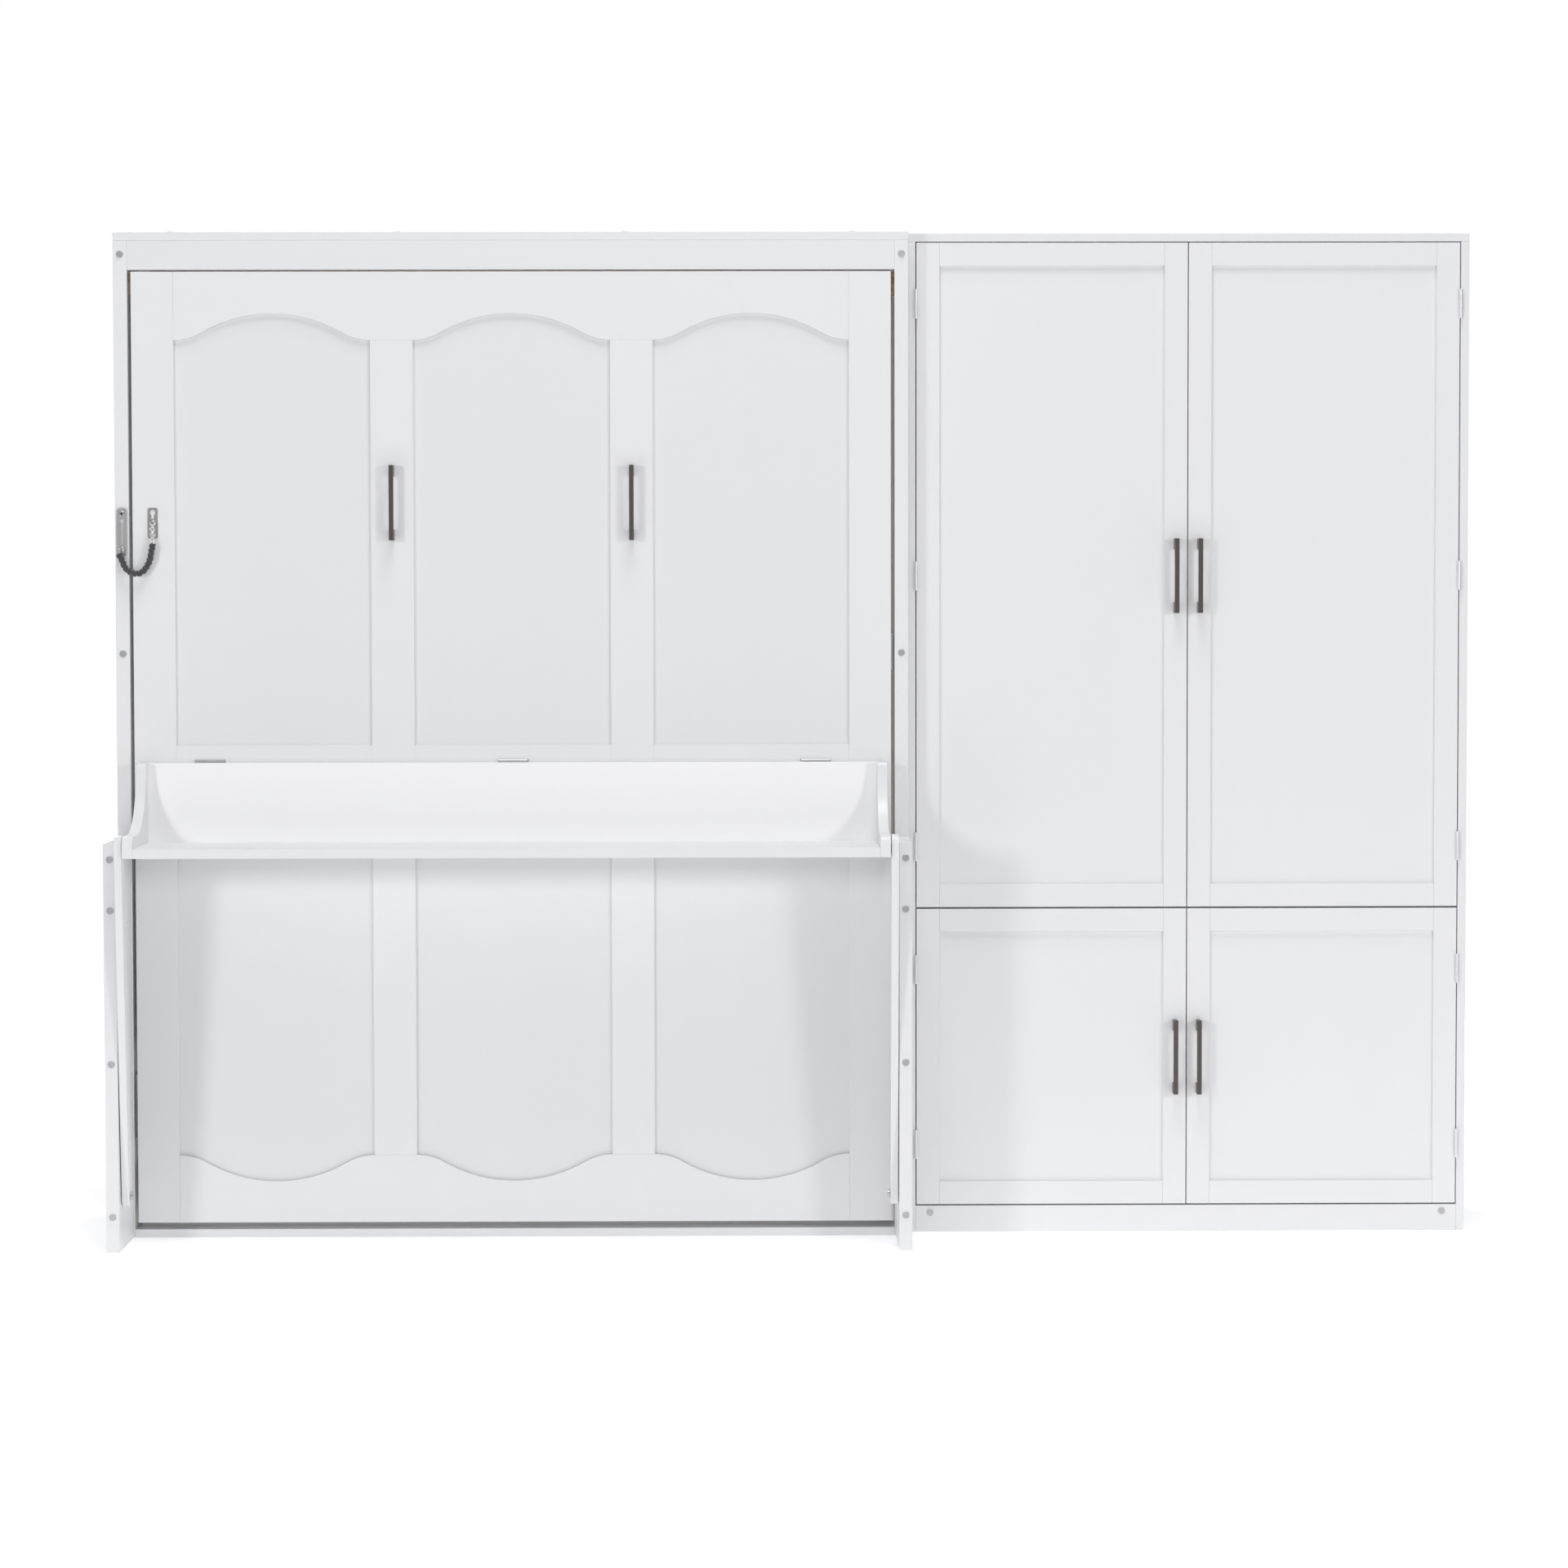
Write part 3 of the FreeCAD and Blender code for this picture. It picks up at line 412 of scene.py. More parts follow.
def two_tones(tree: bpy.types.NodeTree, shader: bpy.types.Node, codes: tuple[str, str],
              share: bpy.types.NodeSocket) -> None:
    """Colours a shader with a blend of two tones.

    Args:
        tree: the material's node tree.
        shader: the shader to colour.
        codes: the two tones as hex values.
        share: how much of the second tone shows.
    """
    tone = add_node(tree, "ShaderNodeMix", {"data_type": "RGBA", "clamp_factor": True})
    tone.inputs[6].default_value = linear(codes[0])
    tone.inputs[7].default_value = linear(codes[1])
    tree.links.new(share, tone.inputs[0])
    tree.links.new(tone.outputs[2], shader.inputs["Base Color"])


def gloss_between(tree: bpy.types.NodeTree, shader: bpy.types.Node, low: float, high: float,
                  share: bpy.types.NodeSocket) -> None:
    """Lets a shader's roughness vary with a pattern.

    Args:
        tree: the material's node tree.
        shader: the shader to vary.
        low: the roughness where the pattern is 0.
        high: the roughness where the pattern is 1.
        share: the pattern.
    """
    gloss = add_node(tree, "ShaderNodeMapRange", {"To Min": low, "To Max": high}, {"Value": share})
    tree.links.new(gloss.outputs["Result"], shader.inputs["Roughness"])


def relief(tree: bpy.types.NodeTree, shader: bpy.types.Node, strength: float, distance: float,
           height: bpy.types.NodeSocket, over: bpy.types.NodeSocket | None = None) -> bpy.types.NodeSocket:
    """Gives a shader a fine relief.

    Args:
        tree: the material's node tree.
        shader: the shader that shows it.
        strength: how strongly it shows, from 0 to 1.
        distance: its depth in metres.
        height: the pattern that raises it.
        over: a finer relief that it lies over, if any.

    Returns:
        The socket of its normal.
    """
    links = {"Height": height} if over is None else {"Height": height, "Normal": over}
    bump = add_node(tree, "ShaderNodeBump", {"Strength": strength, "Distance": distance}, links)
    tree.links.new(bump.outputs["Normal"], shader.inputs["Normal"])
    return bump.outputs["Normal"]


@dataclass(frozen=True)
class SprayedPaint(Finish):
    """Satin lacquer sprayed on board: a soft even sheen over the faintest brushing of the sanded primer."""

    grain: Grain = Grain.UP
    shade: str = "E6E7EA"
    sanding: float = 1.6 * MM
    waviness: float = 22 * MM

    def material(self) -> bpy.types.Material:
        """A near-white coat whose tone drifts a little and whose surface is not quite flat.

        Returns:
            The finished material.
        """
        material, tree, shader = self.start()
        place = pattern_place(tree, self.grain.value)
        drift = add_node(tree, "ShaderNodeTexNoise", {"Scale": 2.2, "Detail": 3.0}, {"Vector": place})
        two_tones(tree, shader, (self.colour, self.shade), drift.outputs["Fac"])
        # the sanding lines are wider apart than real ones, so that they show at all
        fine = add_node(tree, "ShaderNodeTexNoise", {"Scale": 1 / self.sanding, "Detail": 2.0},
                        {"Vector": place})
        wave = add_node(tree, "ShaderNodeTexNoise", {"Scale": 1 / self.waviness, "Detail": 1.0},
                        {"Vector": place})
        lines = relief(tree, shader, 0.10, 0.1 * MM, fine.outputs["Fac"])
        relief(tree, shader, 0.12, 0.4 * MM, wave.outputs["Fac"], over=lines)
        gloss_between(tree, shader, self.roughness - 0.05, self.roughness + 0.06, wave.outputs["Fac"])
        shader.inputs["Coat Weight"].default_value = 0.12
        shader.inputs["Coat Roughness"].default_value = 0.28
        shader.inputs["IOR"].default_value = 1.48
        return material


@dataclass(frozen=True)
class OiledPine(Finish):
    """Planed pine under clear oil: long warm grain lines, darker late wood, a soft sheen."""

    grain: Grain = Grain.ACROSS
    late_wood: str = "B98B58"
    ring: float = 9 * MM

    def material(self) -> bpy.types.Material:
        """Wandering growth lines with fine pores.

        Returns:
            The finished material.
        """
        material, tree, shader = self.start()
        place = pattern_place(tree, self.grain.value)
        wander = add_node(tree, "ShaderNodeTexNoise",
                          {"Scale": 1 / self.ring, "Detail": 4.0, "Distortion": 1.2}, {"Vector": place})
        lines = add_node(tree, "ShaderNodeValToRGB", links={"Fac": wander.outputs["Fac"]})
        lines.color_ramp.elements[0].position = 0.42
        lines.color_ramp.elements[0].color = linear(self.late_wood)
        lines.color_ramp.elements[1].position = 0.56
        lines.color_ramp.elements[1].color = linear(self.colour)
        tree.links.new(lines.outputs["Color"], shader.inputs["Base Color"])
        pores = add_node(tree, "ShaderNodeTexNoise", {"Scale": 900.0, "Detail": 2.0}, {"Vector": place})
        relief(tree, shader, 0.2, 0.2 * MM, pores.outputs["Fac"])
        return material


@dataclass(frozen=True)
class WorkedMetal(Finish):
    """Metal with a worked surface: drawn, turned, brushed or powder coated."""

    grain: Grain = Grain.UP
    metallic: float = 1.0
    line: float = 0.8 * MM
    depth: float = 0.05 * MM
    shade: str = "8C8D90"

    def material(self) -> bpy.types.Material:
        """Fine lines along the working direction, and a sheen that varies with them.

        Returns:
            The finished material.
        """
        material, tree, shader = self.start()
        shader.inputs["Metallic"].default_value = self.metallic
        place = pattern_place(tree, self.grain.value)
        brushing = add_node(tree, "ShaderNodeTexNoise", {"Scale": 1 / self.line, "Detail": 3.0},
                            {"Vector": place})
        two_tones(tree, shader, (self.colour, self.shade), brushing.outputs["Fac"])
        gloss_between(tree, shader, self.roughness - 0.08, self.roughness + 0.10, brushing.outputs["Fac"])
        relief(tree, shader, 0.25, self.depth, brushing.outputs["Fac"])
        return material


@dataclass(frozen=True)
class BraidedSleeve(Finish):
    """A tube of woven polyester yarn: matt, with a crossing braid whose ridges are painted light and whose
    low places between the yarns are painted in dark shade.
    """

    yarn: float = 1.4 * MM
    mottle_size: float = 4.0 * MM
    lay: float = 38.0
    painted_hollow_shade: str = "26272A"
    # the width in metres of one band of a wave texture of scale 1
    wave_width: float = 0.314

    def material(self) -> bpy.types.Material:
        """Two crossing bands of yarn along the tube's own UV map.

        Returns:
            The finished material.
        """
        material, tree, shader = self.start()
        where = add_node(tree, "ShaderNodeUVMap", {"uv_map": "sleeve"})
        heights = []
        for turn in (math.radians(self.lay), math.radians(-self.lay)):
            turned = add_node(tree, "ShaderNodeMapping", {"Rotation": (0, 0, turn)},
                              {"Vector": where.outputs["UV"]})
            band = add_node(tree, "ShaderNodeTexWave",
                            {"wave_profile": "SIN", "Scale": self.wave_width / self.yarn, "Distortion": 0.3},
                            {"Vector": turned.outputs["Vector"]})
            heights.append(band.outputs["Fac"])
        braid = add_node(tree, "ShaderNodeMath", {"operation": "MAXIMUM"})
        tree.links.new(heights[0], braid.inputs[0])
        tree.links.new(heights[1], braid.inputs[1])
        # patches a few millimetres across where the braid's colour comes out lighter or darker
        mottling = add_node(tree, "ShaderNodeTexNoise", {"Scale": 1 / self.mottle_size, "Detail": 3.0, "Roughness": 0.7},
                        {"Vector": where.outputs["UV"]})
        blend = add_node(tree, "ShaderNodeMath", {"operation": "MULTIPLY"})
        tree.links.new(braid.outputs["Value"], blend.inputs[0])
        tree.links.new(mottling.outputs["Fac"], blend.inputs[1])
        # painted shade and highlight: where the braid is low its colour goes dark, and where it is high it
        # goes light, as shade and light would fall on it
        braid_light_and_shade = add_node(tree, "ShaderNodeValToRGB", links={"Fac": blend.outputs["Value"]})
        braid_light_and_shade.color_ramp.elements[0].position = 0.15
        braid_light_and_shade.color_ramp.elements[0].color = linear(self.painted_hollow_shade)
        braid_light_and_shade.color_ramp.elements[1].position = 0.62
        braid_light_and_shade.color_ramp.elements[1].color = linear(self.colour)
        tree.links.new(braid_light_and_shade.outputs["Color"], shader.inputs["Base Color"])
        relief(tree, shader, 0.8, 0.5 * MM, braid.outputs["Value"])
        shader.inputs["Sheen Weight"].default_value = 0.3
        return material


@dataclass(frozen=True)
class StudioPaper(Finish):
    """Pale background paper that glows a little, so that it comes out near white: matt, hardly mottled."""

    glow: float = 0.32

    def material(self) -> bpy.types.Material:
        """A pale matt sheet that glows a little.

        Returns:
            The finished material.
        """
        material, tree, shader = self.start()
        place = pattern_place(tree, (1.0, 1.0, 1.0))
        fibre = add_node(tree, "ShaderNodeTexNoise", {"Scale": 220.0, "Detail": 3.0}, {"Vector": place})
        relief(tree, shader, 0.05, 0.2 * MM, fibre.outputs["Fac"])
        shader.inputs["Specular IOR Level"].default_value = 0.1
        shader.inputs["Emission Color"].default_value = linear(self.colour)
        shader.inputs["Emission Strength"].default_value = self.glow
        return material


class Palette:
    """Every finish of the suite, made once."""

    def __init__(self) -> None:
        """Makes the materials."""
        self.finishes: dict[str, Finish] = {finish.name: finish for finish in (
            SprayedPaint("satin_white_upright", "E9E9EB", "white_frame", 0.42, Grain.UP, "E4E5E7"),
            SprayedPaint("satin_white_rail", "E9E9EB", "white_frame", 0.42, Grain.ACROSS, "E4E5E7"),
            SprayedPaint("satin_white_panel", "E5E6E8", "white_panel", 0.46, Grain.UP, "E1E2E4"),
            SprayedPaint("satin_white_board", "E8E8EA", "white_board", 0.42, Grain.ACROSS, "E2E3E5"),
            # painted light: the backboard's white is brighter than the other boards' to stand for the light
            # that falls on it
            SprayedPaint("satin_white_backboard_painted_light", "FCFCFD", "white_board", 0.40, Grain.ACROSS, "F8F8F9"),
            SprayedPaint("satin_white_side", "E8E8EA", "white_board", 0.42, Grain.UP, "E2E3E5"),
            OiledPine("oiled_pine_slat", "D9B382", "slat_wood", 0.5, Grain.ACROSS),
            OiledPine("oiled_pine_rail", "D2AB79", "slat_wood", 0.5, Grain.UP),
            OiledPine("planed_beech_block", "D8BD96", "block_wood", 0.55, Grain.DEEP, "C3A077"),
            WorkedMetal("dark_bronze_bar", "655D59", "dark_bronze", 0.36, Grain.UP, 0.6, shade="544D4A"),
            WorkedMetal("zinc_plated_steel", "CDCDCE", "satin_steel", 0.32, Grain.UP, shade="B6B7B9"),
            # near white and half metallic, much lighter than the plated steel
            WorkedMetal("near_white_hinge_metal", "ECECEE", "satin_steel", 0.38, Grain.UP, 0.5, shade="DEDFE1"),
            # painted reflection: this nickel is lighter than real nickel, to stand for the bright studio that
            # its faces mirror
            WorkedMetal("nickel_with_painted_reflection", "F4F2F0", "satin_steel", 0.22, Grain.UP, shade="D9D7D4"),
            WorkedMetal("zinc_plated_bolt", "C9CACD", "satin_steel", 0.34, Grain.ACROSS, 0.8, shade="AEB0B3"),
            WorkedMetal("black_enamelled_tube", "1E1E20", "strut_black", 0.35, Grain.UP, 0.0, shade="262629"),
            WorkedMetal("ground_chrome_rod", "D9DADC", "bright_rod", 0.14, Grain.UP, shade="C9CACD"),
            BraidedSleeve("braided_polyester_sleeve", "5B5B5B", "sleeve_fabric", 0.85),
            StudioPaper("studio_paper", "FBFBFC", "", 0.9),
        )}
        self.materials = {name: finish.material() for name, finish in self.finishes.items()}

    def dress(self, piece: bpy.types.Object, finish: str) -> None:
        """Gives a piece one finish.

        Args:
            piece: the piece to dress.
            finish: the finish's name.
        """
        piece.data.materials.clear()
        piece.data.materials.append(self.materials[finish])
        for face in getattr(piece.data, "polygons", ()):
            face.material_index = 0


# ---------------------------------------------------------------- pieces that keep the frame's shape
@dataclass
class Joinery:
    """Carries the frame's own boards and metalwork over, with eased edges and a finish."""

    palette: Palette
    board_edge: float = 1.0 * MM
    metal_edge: float = 0.25 * MM
    flat_within: float = 0.6

    def carry(self, node: str, body: str, finish: str, edge: float, segments: int = 2) -> bpy.types.Object:
        """Makes the piece that stands for a CAD node.

        Args:
            node: the CAD node.
            body: the body that it rides on.
            finish: the finish's name.
            edge: the width of its eased edges, in metres.
            segments: how many faces each eased edge has.

        Returns:
            The finished piece.
        """
        vertices: list[tuple[float, float, float]] = []
        faces: list[list[int]] = []
        for shell in closed_shells(node):
            numbers: dict[tuple[float, float, float], int] = {}
            for triangle in shell:
                for corner in triangle:
                    if corner not in numbers:
                        numbers[corner] = len(vertices)
                        vertices.append(corner)
                faces.append([numbers[corner] for corner in triangle])
        mesh = bpy.data.meshes.new(f"{node}_piece")
        mesh.from_pydata(vertices, [], [face for face in faces if len(set(face)) == 3])
        piece = new_object(f"{node}_piece", mesh)
        edit(piece)
        bpy.ops.object.mode_set(mode="EDIT")
        bpy.ops.mesh.select_all(action="SELECT")
        bpy.ops.mesh.dissolve_limited(angle_limit=math.radians(self.flat_within))
        bpy.ops.object.mode_set(mode="OBJECT")
        ease(piece, edge, segments)
        self.palette.dress(piece, finish)
        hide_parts(node)
        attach(piece, body)
        log.info("carried %s with %s", node, finish)
        return piece

    def boards(self, body: str, finishes: dict[str, str]) -> None:
        """Carries several wooden nodes of one body."""
        for node, finish in finishes.items():
            self.carry(node, body, finish, self.board_edge)

    def metalwork(self, body: str, finishes: dict[str, str]) -> None:
        """Carries several metal nodes of one body."""
        for node, finish in finishes.items():
            self.carry(node, body, finish, self.metal_edge)


@dataclass
class BedCabinet:
    """The fixed frame that the bed folds into, and its legs."""

    joinery: Joinery
    finishes: dict[str, str] = field(default_factory=lambda: {
        "front_posts": "satin_white_upright", "back_posts": "satin_white_upright",
        "leg_posts": "satin_white_upright", "side_rails": "satin_white_side",
        "side_panels": "satin_white_panel", "top_board": "satin_white_board",
        "top_fascia": "satin_white_board", "bottom_board": "satin_white_board",
        "back_rails": "satin_white_board", "stop_blocks": "planed_beech_block",
    })

    def build(self) -> None:
        """Builds every piece of the cabinet."""
        self.joinery.boards("cabinet", self.finishes)


@dataclass
class BedDoor:
    """The panelled door and the slatted frame behind it."""

    joinery: Joinery
    slat_edge: float = 3.0 * MM
    finishes: dict[str, str] = field(default_factory=lambda: {
        "bed_door_stiles": "satin_white_upright", "bed_door_mullions": "satin_white_upright",
        "bed_door_top_rail": "satin_white_rail", "bed_door_bottom_rail": "satin_white_rail",
        "bed_door_sheets": "satin_white_panel", "bed_side_rails": "satin_white_side",
        "bed_end_rails": "satin_white_board", "slat_supports": "oiled_pine_rail",
    })

    def build(self) -> None:
        """Builds the door, its frame and the slats."""
        self.joinery.boards("bed", self.finishes)
        self.joinery.carry("bed_slats", "bed", "oiled_pine_slat", self.slat_edge, 3)


@dataclass
class Desk:
    """The desk and the two arms that keep it level."""

    joinery: Joinery

    def build(self) -> None:
        """Builds the desk's boards, its end brackets and the arms."""
        self.joinery.boards("desk", {"desk_backboard": "satin_white_backboard_painted_light",
                                     "desk_top": "satin_white_board",
                                     "desk_brackets": "satin_white_upright"})
        for side in ("left", "right"):
            self.joinery.boards(f"{side}_arm", {f"{side}_arm": "satin_white_upright"})


@dataclass
class Wardrobe:
    """The wardrobe's case, its fittings and its four doors."""

    joinery: Joinery

    def build(self) -> None:
        """Builds the case and then each door."""
        self.joinery.boards("cabinet", {
            "wardrobe_sides": "satin_white_side", "wardrobe_top": "satin_white_board",
            "wardrobe_back": "satin_white_panel", "wardrobe_plinth": "satin_white_board",
            "wardrobe_bottom": "satin_white_board", "wardrobe_divider": "satin_white_board",
            "wardrobe_shelves": "satin_white_board",
        })
        for door in DOORS:
            self.joinery.boards(f"{door}_door", {f"{door}_door": "satin_white_upright"})


# ---------------------------------------------------------------- handles
@dataclass
class BowHandles:
    """Square bow handles in dark bronze: one model, copied to each door."""

    palette: Palette
    width: float = 10 * MM
    bar: float = 8 * MM
    foot: float = 24 * MM
    edge: float = 1.1 * MM

    def model(self, length: float, reach: float) -> bpy.types.Object:
        """Models a handle whose feet end at the origin's plane, centred up and across.

        Args:
            length: the bar's length.
            reach: how far the bar's front stands off the door.

        Returns:
            The model.
        """
        deselect_all()
        bpy.ops.mesh.primitive_cube_add(size=1, location=(0, self.bar / 2 - reach, 0),
                                        scale=(self.width, self.bar, length))
        piece = leave(bpy.context.object)
        for height in (length / 2 - self.foot, self.foot - length / 2):
            edit(piece)
            bpy.ops.object.mode_set(mode="EDIT")
            bpy.ops.mesh.select_all(action="SELECT")
            bpy.ops.mesh.bisect(plane_co=(0, 0, height), plane_no=(0, 0, 1))
            bpy.ops.object.mode_set(mode="OBJECT")
        pick_faces(piece, lambda face: face.normal.y > 0.9 and abs(face.center.z) > length / 2 - self.foot)
        bpy.ops.mesh.extrude_region_move(TRANSFORM_OT_translate={"value": (0, reach - self.bar, 0)})
        bpy.ops.object.mode_set(mode="OBJECT")
        recalculate(piece)
        ease(piece, self.edge, 3)
        return piece

    def build(self) -> None:
        """Puts a handle wherever the frame has one."""
        places = [("bed_handles", "bed")]
        places += [(f"{door}_handle", f"{door}_door") for door in DOORS]
        for node, body in places:
            boxes = solid_boxes(node)
            model = self.model(boxes[0].size.z, boxes[0].size.y)
            copies = [duplicate(model, f"{node}_{number}", Matrix.Translation(
                (box.centre.x, box.high.y, box.centre.z))) for number, box in enumerate(boxes, start=1)]
            piece = joined(f"{node}_piece", copies)
            discard(model)
            self.palette.dress(piece, "dark_bronze_bar")
            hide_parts(node)
            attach(piece, body)
            log.info("handle on %s", body)


# ---------------------------------------------------------------- bolts
@dataclass
class SocketBolts:
    """Flat socket-head bolts that hold the frame together."""

    palette: Palette
    radius: float = 7.5 * MM
    rim: float = 0.5 * MM
    height: float = 2.0 * MM
    socket: float = 3.1 * MM
    socket_depth: float = 1.3 * MM
    crisp: float = 28.0
    turn_step: float = 17.0

    def model(self) -> bpy.types.Object:
        """Models a head that stands on the origin's plane and faces -Y.

        Returns:
            The model.
        """
        deselect_all()
        bpy.ops.mesh.primitive_circle_add(vertices=48, radius=self.radius, fill_type="NOTHING")
        piece = bpy.context.object
        bpy.ops.object.mode_set(mode="EDIT")
        bpy.ops.mesh.select_mode(type="EDGE")
        bpy.ops.mesh.select_all(action="SELECT")
        bpy.ops.mesh.extrude_region_move(TRANSFORM_OT_translate={"value": (0, 0, self.height - self.rim)})
        inner = (self.radius - self.rim) / self.radius
        bpy.ops.mesh.extrude_region_move(TRANSFORM_OT_translate={"value": (0, 0, self.rim)})
        bpy.ops.transform.resize(value=(inner, inner, 1), center_override=(0, 0, 0))
        bpy.ops.mesh.primitive_circle_add(vertices=6, radius=self.socket, fill_type="NOTHING",
                                          location=(0, 0, self.height))
        bpy.ops.object.mode_set(mode="OBJECT")
        self.pick_rings(piece, (self.height,))
        bpy.ops.mesh.bridge_edge_loops()
        bpy.ops.object.mode_set(mode="OBJECT")
        self.pick_rings(piece, (self.height,), self.socket * 1.02)
        bpy.ops.mesh.extrude_region_move(TRANSFORM_OT_translate={"value": (0, 0, -self.socket_depth)})
        bpy.ops.mesh.edge_face_add()
        bpy.ops.object.mode_set(mode="OBJECT")
        self.pick_rings(piece, (0.0,))
        bpy.ops.mesh.edge_face_add()
        bpy.ops.object.mode_set(mode="OBJECT")
        recalculate(piece)
        piece.data.transform(Euler((math.radians(90), 0, 0)).to_matrix().to_4x4())
        smooth(piece, self.crisp)
        return piece

    @staticmethod
    def pick_rings(piece: bpy.types.Object, heights: Sequence[float], within: float = 1.0) -> None:
        """Selects edges that lie flat at a height, and opens edit mode.

        Args:
            piece: the mesh to work on.
            heights: the heights that count.
            within: the radius that the edges have to lie in.
        """
        edit(piece, "EDGE")
        points = piece.data.vertices
        for ring_edge in piece.data.edges:
            ends = [points[index].co for index in ring_edge.vertices]
            ring_edge.select = all(any(abs(end.z - height) < 1e-6 for height in heights)
                                   and end.xy.length < within for end in ends)
        bpy.ops.object.mode_set(mode="EDIT")

    def build(self) -> None:
        """Puts a bolt wherever the frame has one, turned the way its face looks."""
        model = self.model()
        copies = []
        for number, box in enumerate(solid_boxes("frame_bolts"), start=1):
            if box.size.z < box.size.y:
                turn = Euler((math.radians(-90), 0, 0)).to_matrix().to_4x4()
                foot = Vector((box.centre.x, box.centre.y, box.low.z))
            else:
                turn = Matrix.Rotation(math.radians(self.turn_step * number), 4, "Y")
                foot = Vector((box.centre.x, box.high.y, box.centre.z))
            copies.append(duplicate(model, f"bolt_{number}", Matrix.Translation(foot) @ turn))
        discard(model)
        piece = joined("frame_bolts_piece", copies)
        self.palette.dress(piece, "zinc_plated_bolt")
        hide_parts("frame_bolts")
        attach(piece, "cabinet")
        log.info("%d socket bolts", len(copies))


# ---------------------------------------------------------------- the door chain
@dataclass
class DoorChain:
    """The sleeved chain that keeps the closed bed from falling open."""

    palette: Palette
    joinery: Joinery
    radius: float = 6.5 * MM
    stand_off: float = 14 * MM
    length: float = 0.142
    around: int = 28
    curve_steps: int = 18
    mouth: float = 6 * MM
    lip: float = 0.8
    snug: float = 0.98
    flare: float = 0.12
    far_flare: float = 0.4
    flare_fade: float = 14.0
    fold: float = 0.13
    fold_pitch: float = 10.5 * MM
    fold_twist: float = 1.4
    fold_start: float = 0.6
    pucker: float = 0.07
    pucker_pitch: float = 6.1 * MM
    lean: float = 0.06
    lean_pitch: float = 37 * MM
    wire: float = 1.05 * MM
    link_crisp: float = 40.0
    plate: float = 1.6 * MM
    boss: float = 6.0 * MM
    boss_rise: float = 1.6 * MM
    hang: float = 1.35 * MM
    tallest_screw: float = 15 * MM
    head_spread: float = 0.15 * MM
    head_rise: float = 0.2 * MM
    head_rim: float = 0.9 * MM
    socket_share: float = 0.42
    socket_sink: float = 0.8

    def route(self) -> list[Vector]:
        """The chain's route from the holder down and up again to the stud.

        Returns:
            The curve's control places.
        """
        left = node_box("top_board").low.x
        depth = node_box("front_posts").low.y - self.stand_off
        places = [(83.3, 1526.8), (81.8, 1511), (78.3, 1495.5), (73.1, 1480.3), (64.9, 1467.7),
                  (52.4, 1461.2), (38.3, 1461.9), (26.4, 1469.3), (17.2, 1486.7), (10.2, 1504.8)]
        return [Vector((left + across * MM, depth, height * MM)) for across, height in places]

    def spline_points(self, route: Sequence[Vector]) -> list[Vector]:
        """Lays a smooth curve along the route.

        Args:
            route: the curve's control places.

        Returns:
            Points along the curve, from the holder's end.
        """
        curve = bpy.data.curves.new("chain_line", "CURVE")
        curve.dimensions = "3D"
        spline = curve.splines.new("NURBS")
        spline.points.add(len(route) - 1)
        for control, place in zip(spline.points, route):
            control.co = (*place, 1.0)
        spline.order_u = 3
        spline.use_endpoint_u = True
        spline.resolution_u = self.curve_steps
        line = new_object("chain_line", curve)
        bpy.context.view_layer.update()
        mesh = bpy.data.meshes.new_from_object(line.evaluated_get(bpy.context.evaluated_depsgraph_get()))
        points = [vertex.co.copy() for vertex in mesh.vertices]
        bpy.data.meshes.remove(mesh)
        bpy.data.objects.remove(line, do_unlink=True)
        return points

    def crease(self, travelled: float, total: float, turn: float) -> float:
        """How far the cloth stands off the chain at one place, as a share of the sleeve's radius.

        Args:
            travelled: the distance along the sleeve.
            total: the sleeve's length.
            turn: the angle round the sleeve.

        Returns:
            About 1, less in a crease and more at the flared ends.
        """
        share = travelled / total
        flare = self.flare * (math.exp(-(1 - share) * self.flare_fade)
                              + self.far_flare * math.exp(-share * self.flare_fade))
        twist = self.fold_twist * math.sin(turn + self.fold_start)
        folds = self.fold * math.sin(2 * math.pi * travelled / self.fold_pitch + twist)
        puckers = self.pucker * math.sin(2 * math.pi * travelled / self.pucker_pitch + 2 * turn)
        lean = self.lean * math.sin(2 * math.pi * travelled / self.lean_pitch + turn)
        return self.snug + flare + folds + puckers + lean

    def rings(self, points: Sequence[Vector]) -> tuple[list[list[Vector]], list[float]]:
        """The sleeve's rings: a turned-in mouth, the creased tube, and the other mouth.

        Args:
            points: the sleeve's middle line.

        Returns:
            The rings' places, and how far along the sleeve each ring lies.
        """
        travelled = [0.0]
        for before, after in zip(points, points[1:]):
            travelled.append(travelled[-1] + (after - before).length)
        last = len(points) - 1
        stations = [(0, self.lip, self.mouth), (0, self.lip, 0.0)]
        stations += [(index, 1.0, 0.0) for index in range(len(points))]
        stations += [(last, self.lip, 0.0), (last, self.lip, -self.mouth)]
        side = Vector((0, 1, 0))
        rings = []
        for index, share, inward in stations:
            way = (points[min(index + 1, last)] - points[max(index - 1, 0)]).normalized()
            across = way.cross(side).normalized()
            ring = []
            for step in range(self.around):
                turn = 2 * math.pi * step / self.around
                reach = self.radius * share * self.crease(travelled[index], travelled[-1], turn)
                outward = side * math.cos(turn) + across * math.sin(turn)
                ring.append(points[index] + way * inward + outward * reach)
            rings.append(ring)
        return rings, [travelled[index] for index, _, _ in stations]

